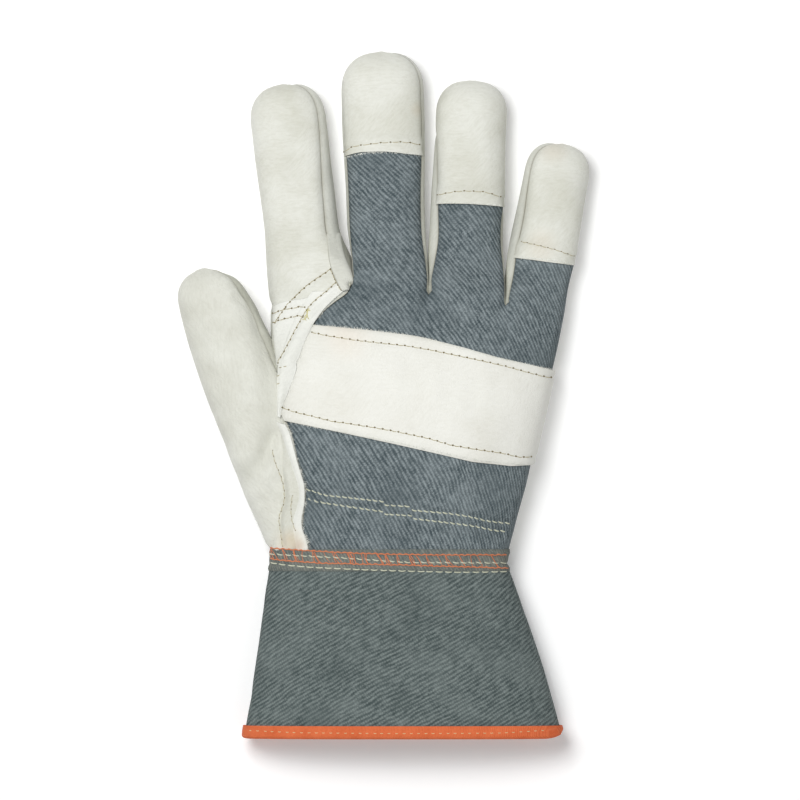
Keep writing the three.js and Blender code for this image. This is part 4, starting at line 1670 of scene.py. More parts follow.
class Shader:
    """One material and the nodes in it."""

    def __init__(self, name: str) -> None:
        """Makes an empty material with a principled shader.

        Args:
            name: of the material.
        """
        self.material = bpy.data.materials.new(name)
        self.material.use_nodes = True
        self.tree = self.material.node_tree
        self.tree.nodes.clear()
        self.surface = self.node("ShaderNodeBsdfPrincipled")
        self.node("ShaderNodeOutputMaterial", inputs={"Surface": self.surface.outputs["BSDF"]})
        self.place = self.node("ShaderNodeTexCoord").outputs["Object"]

    def node(
        self, kind: str, settings: Optional[dict] = None, inputs: Optional[dict] = None
    ) -> bpy.types.Node:
        """Adds one node.

        Args:
            kind: its type.
            settings: its properties, set first.
            inputs: values or links by the name or number of a socket.

        Returns:
            The node.
        """
        made = self.tree.nodes.new(kind)
        for key, value in (settings or {}).items():
            setattr(made, key, value)
        self.feed(made, inputs or {})
        return made

    def feed(self, node: bpy.types.Node, inputs: dict) -> None:
        """Sets or links the inputs of a node.

        Args:
            node: the node.
            inputs: values or links by the name or number of a socket.
        """
        for key, value in inputs.items():
            socket = node.inputs[key]
            value = value.socket if isinstance(value, Signal) else value
            if isinstance(value, Socket):
                self.tree.links.new(value, socket)
            else:
                socket.default_value = value

    def calculate(self, operation: str, *values: Number) -> Signal:
        """Math node on numbers or signals."""
        made = self.node("ShaderNodeMath", {"operation": operation}, dict(enumerate(values)))
        return Signal(self, made.outputs[0])

    def ranged(self, value: Signal, low: float, high: float) -> Signal:
        """Eased share of the way from one value to another.

        Args:
            value: what is read.
            low: value that gives 0.
            high: value that gives 1.

        Returns:
            The share.
        """
        settings = {"interpolation_type": "SMOOTHSTEP"}
        inputs = {"Value": value, "From Min": low, "From Max": high}
        return Signal(self, self.node("ShaderNodeMapRange", settings, inputs).outputs["Result"])

    def mix(self, share: Number, first: object, second: object) -> Socket:
        """Colour at a share of the way from the first to the second."""
        inputs = {0: share, 6: opened(first), 7: opened(second)}
        return self.node("ShaderNodeMix", {"data_type": "RGBA"}, inputs).outputs[2]

    def speckle(self, scale: float, detail: float = 2.0, rough: float = 0.5, place: object = None) -> Signal:
        """Noise from 0 to 1; scale is lumps to a metre."""
        inputs = {"Vector": place or self.place, "Scale": scale, "Detail": detail, "Roughness": rough}
        return Signal(self, self.node("ShaderNodeTexNoise", None, inputs).outputs[0])

    def cells(self, scale: float, place: object = None) -> Signal:
        """Distance to the edges between cells.

        Args:
            scale: cells to a metre.
            place: where it is read.

        Returns:
            The distance.
        """
        inputs = {"Vector": place or self.place, "Scale": scale}
        made = self.node("ShaderNodeTexVoronoi", {"feature": "DISTANCE_TO_EDGE"}, inputs)
        return Signal(self, made.outputs[0])

    def stretched(self, size: Colour, turn: float = 0.0) -> Socket:
        """Place on the surface, stretched along a direction turned about the vertical."""
        inputs = {"Vector": self.place, "Scale": size, "Rotation": (0.0, 0.0, turn)}
        return self.node("ShaderNodeMapping", {"vector_type": "TEXTURE"}, inputs).outputs[0]

    def combined(self, *parts: Number) -> Socket:
        """Vector of two or three numbers."""
        return self.node("ShaderNodeCombineXYZ", None, dict(enumerate(parts))).outputs[0]

    def axes(self) -> tuple[Signal, Signal, Signal]:
        """Place in millimetres, as three numbers."""
        parts = self.node("ShaderNodeSeparateXYZ", None, {0: self.place}).outputs
        return tuple(Signal(self, part) * 1000.0 for part in parts)

    def worn_and_edge_shaded(self) -> Signal:
        """How near a point is to its panel's border, from the mesh; the finishes paint dirt and shade there.
        """
        made = self.node("ShaderNodeAttribute", {"attribute_name": "wear"})
        return Signal(self, made.outputs["Fac"])

    def bump(self, height: Signal, depth: float, strength: float = 1.0) -> Socket:
        """Normal of a fine relief; depth is in millimetres."""
        inputs = {"Strength": strength, "Distance": depth * MM, "Height": height}
        return self.node("ShaderNodeBump", None, inputs).outputs[0]

    def finish(self, colour: object, normal: object = None, roughness: Number = 0.6, **fixed: object) -> None:
        """Sets the principled shader.

        Args:
            colour: base colour or its link.
            normal: link of the normal.
            roughness: number or signal.
            **fixed: constants by the shader's socket names, with _ for a space.
        """
        inputs = {"Base Color": opened(colour), "Roughness": roughness}
        if normal is not None:
            inputs["Normal"] = normal
        inputs.update({key.replace("_", " "): value for key, value in fixed.items()})
        self.feed(self.surface, inputs)


@dataclass(frozen=True)
class Spot:
    """Soft patch of colour round a place in pixels; some are stains, others painted shade. Reach is in
    millimetres.
    """

    px: float
    py: float
    reach: float
    amount: float
    colour: Colour = tone(206, 184, 148)


@dataclass(frozen=True)
class Leather:
    """Soft grain leather with fine wrinkles."""

    name: str
    light: Colour
    shade: Colour
    # Colour laid towards each panel's border, and its share: real dirt at the seams together with painted
    # shade in the seam gaps, and a painted shadow line along raw edges.
    edge_stain_and_shade: Colour = tone(148, 144, 124)
    edge_stain_and_shade_amount: float = 0.55
    grain: float = 0.10
    crease: float = 0.35
    turn: float = 0.6
    spots: tuple[Spot, ...] = ()

    def material(self) -> Material:
        """Builds the material.

        Returns:
            The material.
        """
        s = Shader(self.name)
        broad = s.speckle(45.0, 3.0)
        fine = s.speckle(900.0)
        bent = s.speckle(60.0, 1.0)
        veins = s.speckle(300.0, 4.0, 0.6, s.stretched((2.6, 0.8, 1.0), self.turn))
        hairs = s.speckle(1000.0, 3.0, 0.65, s.stretched((3.4, 0.9, 1.0), self.turn + 0.25))
        other = s.speckle(1000.0, 3.0, 0.65, s.stretched((3.4, 0.9, 1.0), self.turn - 0.6))
        which = s.ranged(bent, 0.42, 0.58)
        streaks = hairs * which + other * (1.0 - which)
        pores = s.cells(1300.0)
        share = s.ranged(broad, 0.35, 0.7) * 0.5 + s.ranged(streaks, 0.35, 0.75) * 0.32 + fine * 0.2
        colour = s.mix(share, self.light, self.shade)
        # Towards a panel's border the colour goes to the edge colour: dirt at the seams with painted shade in
        # their gaps, and a painted shadow line on raw edges.
        worn_and_edge_shaded = s.worn_and_edge_shaded()
        edge = worn_and_edge_shaded * worn_and_edge_shaded * worn_and_edge_shaded * (0.6 + s.ranged(broad, 0.3, 0.6) * 0.4)
        colour = s.mix(edge * self.edge_stain_and_shade_amount, colour, self.edge_stain_and_shade)
        colour = s.mix(s.ranged(veins, 0.55, 0.8) * 0.2, colour, self.shade)
        x, y, _ = s.axes()
        for spot in self.spots:
            at_x, at_y = (float(v) for v in plan([(spot.px, spot.py)])[0])
            away = s.calculate("SQRT", (x - at_x) * (x - at_x) + (y - at_y) * (y - at_y))
            near = 1.0 - s.ranged(away + (broad - 0.5) * spot.reach, 0.0, spot.reach)
            colour = s.mix(near * spot.amount, colour, spot.colour)
        height = pores * self.grain * 2.0 + veins * self.crease + streaks * 0.16 + fine * 0.12
        rough = 0.55 + fine * 0.14
        s.finish(colour, s.bump(height, 0.6), rough, Specular_IOR_Level=0.3, Sheen_Weight=0.1)
        return s.material


@dataclass(frozen=True)
class Twill:
    """Twill cloth whose ribs turn over the glove.

    Each reading of the ribs is a place in pixels and how far they fall to the right, in degrees.
    """

    name: str
    dark: Colour
    light: Colour
    readings: tuple[tuple[float, float, float], ...]
    period: float = 1.5
    middle: float = 0.0
    strength: float = 0.8
    ribbed: float = 1.0
    fleck: Colour = tone(182, 190, 192)

    def phase(self) -> Array:
        """Turns of the ribs as a quadratic of the place, fitted to the readings.

        Returns:
            The five factors of x, y, xx, xy and yy.
        """
        rows, goals = [], []
        for px, py, fall in self.readings:
            x, y = plan([(px, py)])[0]
            angle = math.radians(fall)
            rows += [[1, 0, 2 * x, y, 0], [0, 1, 0, x, 2 * y]]
            goals += [math.sin(angle) / self.period, math.cos(angle) / self.period]
        if len(self.readings) < 3:
            return np.array([goals[0], goals[1], 0.0, 0.0, 0.0])
        return np.linalg.lstsq(np.array(rows), np.array(goals), rcond=None)[0]

    def material(self) -> Material:
        """Builds the material.

        Returns:
            The material.
        """
        s = Shader(self.name)
        x, y, z = s.axes()
        side = s.calculate("MAXIMUM", s.calculate("MINIMUM", (x - self.middle) * 0.05, 1.0), -1.0)
        x = x + side * (30.0 - z) * 0.35
        a, b, c, d, e = (float(v) for v in self.phase())
        wobble = s.speckle(220.0)
        bend = s.speckle(48.0, 1.0)
        turns = x * a + y * b + x * x * c + x * y * d + y * y * e + wobble * 0.7 + bend * 1.6
        cross = x * b - y * a + wobble * 0.5
        rib = turns.wave()
        yarn = cross.wave(1 / 1.55)
        streak = s.speckle(1.0, 3.0, 0.6, s.combined(turns * 0.9, cross * 0.4))
        fine = s.speckle(2600.0, 2.0, 0.6)
        broad = s.speckle(70.0, 4.0, 0.6)
        slub = s.speckle(700.0)
        height = rib * (0.42 + yarn * 0.15) + fine * 0.45 + slub * 0.2 + streak * 0.2
        share = rib * (0.26 + yarn * 0.2) * self.ribbed + fine * 0.9 + streak * 1.1 + slub * 0.4 - 0.97
        colour = s.mix(share.limited(), self.dark, self.light)
        colour = s.mix(s.ranged(broad, 0.4, 0.75) * 0.3, colour, self.light)
        colour = s.mix(s.ranged(s.speckle(40.0, 3.0, 0.6), 0.45, 0.7) * 0.35, colour, self.dark)
        colour = s.mix(s.ranged(s.speckle(1900.0, 1.0), 0.7, 0.78) * 0.6, colour, self.fleck)
        # Painted shade along the seams: darker towards each cloth panel's border, with some dirt.
        colour = s.mix(s.worn_and_edge_shaded() * 0.35, colour, self.dark)
        normal = s.bump(height, 0.5, self.strength)
        s.finish(colour, normal, 0.95, Specular_IOR_Level=0.1)
        return s.material


@dataclass(frozen=True)
class Tape:
    """Orange cotton tape with a row of pale stitches."""

    name: str
    light: Colour
    dark: Colour

    def material(self) -> Material:
        """Builds the material.

        Returns:
            The material.
        """
        s = Shader(self.name)
        x, y, z = s.axes()
        weave = (x + z).wave(0.55)
        across = y.wave(0.5)
        broad = s.speckle(180.0, 3.0, 0.6)
        fine = s.speckle(1800.0)
        share = weave * 0.25 + across * 0.15 + broad * 0.5 + fine * 0.3 - 0.15
        colour = s.mix(share.limited(), self.dark, self.light)
        s.finish(colour, s.bump(weave * across + fine * 0.5, 0.25, 0.6), 0.85, Specular_IOR_Level=0.2)
        return s.material


@dataclass(frozen=True)
class Yarn:
    """Sewing thread."""

    name: str
    light: Colour
    dark: Colour

    def material(self) -> Material:
        """Builds the material.

        Returns:
            The material.
        """
        s = Shader(self.name)
        x, y, _ = s.axes()
        twist = (x * 1.3 + y * 0.9).wave(0.45)
        share = twist * 0.5 + s.speckle(500.0) * 0.7 - 0.1
        colour = s.mix(share.limited(), self.dark, self.light)
        s.finish(colour, s.bump(twist, 0.08, 0.6), 0.7, Specular_IOR_Level=0.25)
        return s.material


@dataclass(frozen=True)
class Plain:
    """Plain pale ground."""

    name: str
    light: Colour
    glow: float = 0.0

    def material(self) -> Material:
        """Builds the material.

        Returns:
            The material.
        """
        s = Shader(self.name)
        s.finish(self.light, None, 0.9, Specular_IOR_Level=0.1, Emission_Color=WHITE,
                 Emission_Strength=self.glow)
        return s.material


def placed(name: str, data: bpy.types.ID) -> bpy.types.Object:
    """Object with the data, put into the scene.

    Args:
        name: of the object.
        data: its mesh, light or camera.

    Returns:
        The object.
    """
    made = bpy.data.objects.new(name, data)
    bpy.context.scene.collection.objects.link(made)
    return made


def piece(name: str, solid: Solid, material: Material, slot: str, *nodes: str) -> bpy.types.Object:
    """Makes one piece and fixes it to the frame.

    Args:
        name: of the piece.
        solid: its shape.
        material: its finish.
        slot: the record's material slot; not used.
        *nodes: CAD nodes it stands for.

    Returns:
        The object.
    """
    mesh = bpy.data.meshes.new(name)
    mesh.from_pydata((solid.points * MM).tolist(), [], solid.faces)
    mesh.validate()
    # Each point's nearness to the border, which the finishes paint as dirt and as shade along seams and raw
    # edges.
    worn_and_edge_shaded = mesh.attributes.new("wear", "FLOAT", "POINT")
    values = np.zeros(len(mesh.vertices)) if solid.wear is None else solid.wear
    worn_and_edge_shaded.data.foreach_set("value", values.astype(np.float32))
    mesh.shade_smooth()
    mesh.set_sharp_from_angle(angle=math.radians(55))
    mesh.materials.append(material)
    made = placed(name, mesh)
    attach(made, "root")
    if nodes:
        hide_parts(*nodes)
    log.info("%s: %d faces, stands for %s", name, len(solid.faces), ", ".join(nodes) or "no node")
    return made


@dataclass
class Studio:
    """Floor, lights and the camera straight above."""

    field_mm: float = 314.4
    lens: float = 700.0
    sensor: float = 36.0
    level: float = 14.0
    middle: tuple[float, float] = (400.0, 400.0)
    floor_half: float = 4.0
    floor_drop: float = 0.4
    world_light: float = 0.2

    def build(self) -> None:
        """Sets up everything round the glove."""
        size = self.floor_half
        mesh = bpy.data.meshes.new("floor")
        corners = [(-size, -size, 0), (size, -size, 0), (size, size, 0), (-size, size, 0)]
        mesh.from_pydata(corners, [], [(0, 1, 2, 3)])
        mesh.materials.append(Plain("floor_paper", (0.93, 0.93, 0.93), 0.16).material())
        floor = placed("floor", mesh)
        floor.location.z = -self.floor_drop * MM
        world = bpy.data.worlds.new("studio")
        world.use_nodes = True
        ground = world.node_tree.nodes["Background"]
        ground.inputs["Color"].default_value = WHITE
        ground.inputs["Strength"].default_value = self.world_light
        bpy.context.scene.world = world
        self.light("key", (-0.3, 0.32, 1.35), 0.55, 15.0)
        self.light("fill", (0.7, -0.4, 1.1), 1.0, 1.5)
        self.light("foot", (-0.1, -0.8, 1.1), 1.0, 1.9)
        camera = bpy.data.cameras.new("camera")
        camera.lens = self.lens
        camera.sensor_width = self.sensor
        camera.clip_end = 20.0
        made = placed("camera", camera)
        x, y = plan([self.middle])[0]
        distance = self.field_mm * self.lens / self.sensor
        made.location = (x * MM, y * MM, (distance + self.level) * MM)
        bpy.context.scene.camera = made
        bpy.context.scene.view_settings.view_transform = "Standard"

    def light(self, name: str, place: tuple[float, float, float], size: float, power: float) -> None:
        """Adds a soft square light aimed at the glove.

        Args:
            name: of the light.
            place: in metres.
            size: side of the square, in metres.
            power: in watts.
        """
        lamp = bpy.data.lights.new(name, "AREA")
        lamp.size = size
        lamp.energy = power
        made = placed(name, lamp)
        made.location = place
        made.rotation_euler = (-Vector(place)).to_track_quat("-Z", "Y").to_euler()


# Traced lines: seams of the index patch, raw edges, hems, and rows of stitches.
SEAM_A: Line = (
    (330.6, 269.7), (322.3, 275.4), (314.6, 280.5), (306.6, 286.3), (300.3, 292), (293.6, 298.7),
    (286.9, 305.4), (283.7, 310.5), (277.3, 319.4), (274.8, 323.9),
)
SEAM_B: Line = (
    (272.5, 313.4), (277.3, 311.8), (283.7, 309.2), (292.6, 308.3), (301.2, 306.3), (306, 307.6),
)
SEAM_C: Line = ((273, 322.6), (277.6, 320.7), (283, 319.1), (292.6, 316.9), (300.3, 315.3), (304, 317.8))
SEAM_D: Line = (
    (336, 283), (327.7, 291), (318.1, 298.4), (310.5, 305.4), (304.7, 313.7), (299.3, 323.6),
    (294.8, 331.5), (290.7, 339.8), (286.9, 346.6), (282.9, 354.6), (278.9, 360.2), (278.1, 364),
)
FLANGE_EDGE: Line = (
    (349.5, 288.5), (343, 292), (332.7, 301), (324, 309.4), (317.8, 318.1), (313.2, 324.5), (303.3, 345),
    (299.8, 358.6), (296, 362.5), (297.8, 368), (294.6, 377), (290.6, 387.3), (287.2, 396), (283.2, 404.8),
    (281.5, 412), (280.5, 419),
)
FLANGE_ROOT: Line = (
    (343, 279), (337.5, 282), (328.5, 289.5), (319, 296.8), (311.5, 303.8), (305.6, 312.3), (300.2, 322.2),
    (295.6, 330.4), (291.4, 338.8), (287.8, 345.6), (283.6, 353.8), (279.8, 359.8), (278, 366), (277, 388),
    (277.5, 404), (277, 417),
)
HEM_EDGE: Line = (
    (285.7, 423.5), (290.9, 434.3), (294.9, 451.1), (299.7, 468), (302, 475), (304.9, 483.4), (305.2, 495),
    (304.9, 504.8), (302.9, 512.9), (301.9, 520.9), (302.6, 528.9), (305.9, 536.3), (308.2, 543.7),
    (308.6, 550.5),
)
HEM_ROOT: Line = (
    (276.5, 421.6), (282.9, 436.7), (286.5, 448), (289.3, 456.6), (293.3, 470), (297, 480), (299.2, 487.4),
    (299.6, 496.8), (297.2, 507.5), (294.5, 515), (293.2, 520.9), (293.2, 528.3), (295, 540), (297, 550.5),
)
THUMB_SEAM: Line = (
    (272.9, 450), (274.9, 460), (277.8, 468), (281.8, 477.4), (284.5, 488.8), (285.1, 498.1),
    (283.8, 504.8), (281.1, 511.5), (279.1, 518.2), (280.1, 524.9), (281.8, 537), (283.1, 547),
)
STRAP_TOP: Line = (
    (311.7, 332.2), (329, 336), (354, 340), (380, 343), (407, 346), (431, 350), (450, 354), (480, 360.4),
    (504.5, 366), (529, 372.7), (545.3, 376.7), (552, 377.4),
)
STRAP_LOW: Line = (
    (282.1, 407.2), (291.7, 410.8), (300.9, 413.2), (310, 415.2), (318.4, 417.6), (334.7, 421.6),
    (342.7, 422.4), (370, 426.5), (395, 431), (428, 438), (452, 445), (476, 449), (503, 453), (520, 457),
    (532, 456.4),
)
SHIRR_TOP: Line = (
    (306, 488.5), (313, 490.8), (326, 494.8), (348, 497), (385, 501.2), (384, 504.4), (411.5, 506.1),
    (411, 509.5), (449, 513), (469, 516), (485, 520), (498, 522), (511, 523),
)
SHIRR_LOW: Line = (
    (307.9, 498.1), (319, 501.5), (333, 503.7), (348, 506), (385, 511.2), (384, 513.5), (413, 515.2),
    (412.5, 517.8), (446, 522), (471, 525), (495, 530), (506, 531),
)
MIDDLE_HEM: Line = ((343.5, 152), (353, 146.5), (379, 143), (400, 142), (412, 143), (420.5, 145))
RING_HEM: Line = ((437, 195), (452, 192), (466, 191), (485, 192), (501.5, 197))
LITTLE_HEM: Line = ((521, 241.5), (535, 244.6), (555.5, 249.7), (565.7, 253.3), (575, 256.3))
BAND_TOP: Line = (
    (269.4, 547.8), (285, 548.8), (305, 550.2), (322, 551), (340.7, 552), (400, 554), (508, 554.7),
)
BAND_LOW: Line = (
    (269.7, 558.4), (281.8, 560), (295, 561), (322, 562.8), (344.7, 563.1), (383, 564), (456, 566),
    (510, 568),
)
BAND_DASH: Line = (
    (269, 553.4), (291, 554.5), (314, 555.7), (340, 557), (399, 561), (410, 561.6), (463, 562),
    (508, 562.5),
)
BAND_FOOT: Line = (
    (270, 562), (285, 564.4), (309, 566.4), (342, 568), (399, 570), (456, 571.5), (480, 571.5), (509, 571),
)
TAPE_DASH: Line = ((249, 729.5), (300, 731.3), (400, 732), (500, 731.6), (548, 729))
# Loops of the knot, and the strap's two raw edges.
KNOT_LOOPS: tuple[Line, ...] = (
    ((309.8, 308), (306.5, 311), (309.5, 313.5), (304.5, 314), (309, 317.5), (303.5, 317.6), (306.8, 321)),
    (
        (305, 309.5), (309.6, 311), (305.6, 313), (309.2, 315.5), (302.6, 316), (307.4, 319.4),
        (301.8, 319.6),
    ),
    ((311, 311), (307.5, 309.6), (306, 312.6), (308.6, 314.6), (306.5, 317), (309.6, 319.6)),
)
STRAP_UPPER: Line = (
    (313.7, 325), (336, 326.8), (360, 328.8), (400, 333.8), (435, 340.5), (450, 346), (500, 359),
    (552.5, 369.6),
)
STRAP_LOWER: Line = (
    (281, 417), (289, 421.2), (314, 426.6), (350, 433.3), (400, 442.6), (440, 452), (480, 460),
    (530, 464.4),
)


@dataclass
class Trim:
    """Leather layers laid on the hand, all stitching and the fuzz of raw edges."""

    layers: tuple[Sheet, ...] = (
        Sheet(
            near=((271.6, 306), (272, 320), (273, 335), (274.5, 350), (276.5, 366)),
            far=((339, 286), (321.5, 300.6), (307.5, 316.4), (293.5, 342), (279.5, 367)),
            thickness=0.6,
            ends=(
                ((271.6, 306), (283.7, 301.2), (293.6, 299.2), (302.8, 298.4), (310, 296.5), (311, 291),
                 (318.8, 290.7), (327, 291), (332.2, 286.3), (339, 286)),
                ((276.5, 366), (279.5, 367)),
            ),
            grooves=(Groove(SEAM_A[5:], 0.3, 0.6), Groove(SEAM_B, 0.35, 0.7), Groove(SEAM_C, 0.35, 0.7)),
        ),
        Sheet(near=FLANGE_ROOT, far=FLANGE_EDGE, thickness=0.7, flush=True, bridge=3.0),
        Sheet(near=HEM_ROOT, far=HEM_EDGE, thickness=0.6, flush=True),
        Sheet(
            near=((326.8, 232), (328, 255), (330.6, 268.4), (335, 279), (339, 287), (342.8, 292)),
            far=((340.5, 232), (343, 248), (346.5, 259), (350.5, 267.5), (353.6, 276), (353.6, 284),
                 (349, 291)),
            thickness=1.3,
            fade=0.45,
            bridge=6.0,
            shaded=True,
        ),
    )
    rows: tuple[StitchRow, ...] = (
        StitchRow(SEAM_A),
        StitchRow(SEAM_B),
        StitchRow(SEAM_C),
        StitchRow(SEAM_D),
        StitchRow(STRAP_TOP, dash=2.6),
        StitchRow(STRAP_LOW, dash=2.6),
        StitchRow(MIDDLE_HEM, dash=3.5, radius=0.14, hole_shadow=0.29),
        StitchRow(RING_HEM, dash=3.3, radius=0.14, hole_shadow=0.29),
        StitchRow(LITTLE_HEM, dash=2.4, radius=0.14, hole_shadow=0.2),
        StitchRow(THUMB_SEAM, dash=2.4, radius=0.13, hole_shadow=0.19),
        StitchRow(((293, 495), (291.3, 508), (292.4, 520), (296, 531)), dash=2.2, radius=0.13, hole_shadow=0.18),
        StitchRow(((330.6, 268.4), (335, 279), (339, 287), (342, 291))),
        StitchRow(((278.5, 367.6), (288, 365.6)), dash=1.6, hole_shadow=0.0),
        StitchRow(((275.6, 376.5), (281, 374.2)), dash=2.0, hole_shadow=0.0),
        StitchRow(((275.8, 384), (281, 382.6)), dash=2.0, hole_shadow=0.0),
        *(
            StitchRow(line[start:end], Thread.CREAM, 2.0, 0.5, 0.28, slant=slant, hole_shadow=0.0)
            for line in (SHIRR_TOP, SHIRR_LOW)
            for start, end, slant in ((0, 5, -0.45), (5, 7, -0.3), (7, None, -0.45))
        ),
        StitchRow(BAND_DASH, Thread.CREAM, 2.5, 0.6, 0.26, slant=-0.4, hole_shadow=0.0),
        StitchRow(BAND_FOOT, Thread.CREAM, 2.9, 0.7, 0.26, hole_shadow=0.0),
        StitchRow(TAPE_DASH, Thread.YELLOW, 1.4, 1.5, 0.11, hole_shadow=0.0),
    )
    fuzz: tuple[Fuzz, ...] = (
        Fuzz(FLANGE_EDGE[:5], 1.0, 90, 1.2, seed=3),
        Fuzz(FLANGE_EDGE[4:], 1.0, 90, 0.8, seed=8),
        Fuzz(HEM_EDGE, 1.0, 200, 1.4, seed=4),
        Fuzz(((344, 157.5), (356, 155), (368, 152.5), (396, 152.5), (420, 155)), -1.0, 150, 0.9, seed=5),
        Fuzz(((437, 202.5), (468, 202.3), (502, 205.5)), -1.0, 130, 0.9, seed=6),
        Fuzz(((520, 257.3), (537, 258.4), (553.5, 259.9), (574, 264)), -1.0, 130, 1.0, seed=7),
        Fuzz(STRAP_UPPER, 1.0, 380, 0.7, seed=9),
        Fuzz(STRAP_LOWER, -1.0, 380, 0.7, seed=10),
    )

    def overlock(self, drape: Drape) -> list[Solid]:
        """Orange threads over the wrist seam: two lines and the slanted ones between them.

        Args:
            drape: what has been laid.

        Returns:
            The threads.
        """
        solids = []
        for line in (BAND_TOP, BAND_LOW):
            points = plan(line)
            total = arc(points)[-1]
            places = np.arange(0.0, total, 0.55)
            spots = along(points, places)
            spots[:, 1] += 0.14 * np.sin(places * 2.6) + 0.12 * noise(places[:, None], 2.2, 71)
            solids.append(rope(drape.above(spots, 0.18), 0.25 + 0.05 * np.sin(places * 2.6), 6, 0.4))
        top, low = plan(BAND_TOP), plan(BAND_LOW)
        chance = np.random.default_rng(11)
        for x in np.arange(low[0, 0] + 0.4, low[-1, 0] - 4.5, 4.1):
            middle = x + chance.uniform(-1.2, 1.2)
            for strand in range(int(chance.integers(1, 4))):
                start = max(middle + chance.uniform(-0.7, 0.7) + 0.4 * strand, low[0, 0] + 0.2)
                over = chance.uniform(0.4, 3.4)
                ends = np.array([[start, np.interp(start, top[:, 0], top[:, 1])],
                                 [start + over, np.interp(start + over, low[:, 0], low[:, 1])]])
                spots = along(ends, np.linspace(0, arc(ends)[-1], 9))
                spots[:, 0] += 0.5 * np.sin(np.linspace(0, math.pi, 9)) * chance.uniform(-1, 1)
                path = drape.above(spots, chance.uniform(0.14, 0.3))
                solids.append(rope(path, chance.uniform(0.1, 0.17), 5, 0.7))
        return solids

    def knot(self, drape: Drape) -> list[Solid]:
        """Loops of yellow thread where the patch's seams meet.

        Args:
            drape: what has been laid.

        Returns:
            The loops.
        """
        solids = []
        for line in KNOT_LOOPS:
            points = softened(plan(line))
            spots = along(points, np.linspace(0, arc(points)[-1], 40))
            path = [drape.touch(*spot)[0] + np.array([0, 0, 0.22 + 0.18 * math.sin(i * 1.3)])
                    for i, spot in enumerate(spots)]
            solids.append(rope(np.array(path), 0.17, 6, 0.4))
        return solids


def threads(rows: Sequence[StitchRow], kind: Thread, drape: Drape) -> list[Solid]:
    """Stitches of all the rows sewn with one kind of thread."""
    return [stitch for row in rows if row.thread is kind for stitch in row.build(drape)]


RELIEF = (
    Groove(SEAM_A, 0.4, 0.7, 0.15),
    Groove(((507.3, 304), (509.8, 320), (507.3, 335)), 0.8, 0.9, 0.1),
    Groove(((429.3, 290), (431, 305), (438, 322)), 0.5, 2.2, 0.2),
    Groove(((352, 285), (380, 279), (412, 277)), 0.45, 2.6, 0.2),
    Groove(((452, 330), (478, 322), (500, 306)), 0.4, 3.0, 0.2),
    Groove(((300, 445), (350, 462), (400, 470)), 0.35, 4.0),
    Groove(((420, 480), (465, 492), (500, 494)), 0.4, 3.0),
    Groove(((330, 520), (372, 535), (420, 538)), 0.4, 3.0),
    Groove(SHIRR_TOP, 0.75, 1.1, 0.25, 0.3, 2.6, 5.0),
    Groove(SHIRR_LOW, 0.75, 1.1, 0.25, 0.3, 2.6, 5.0),
    Groove(((300, 553), (400, 557), (506, 557)), 0.8, 2.2, 0.2, 0.3, 3.4, 6.0),
    Groove(THUMB_SEAM, 0.7, 1.1, 0.3, 0.15, 3.0, 3.0),
)


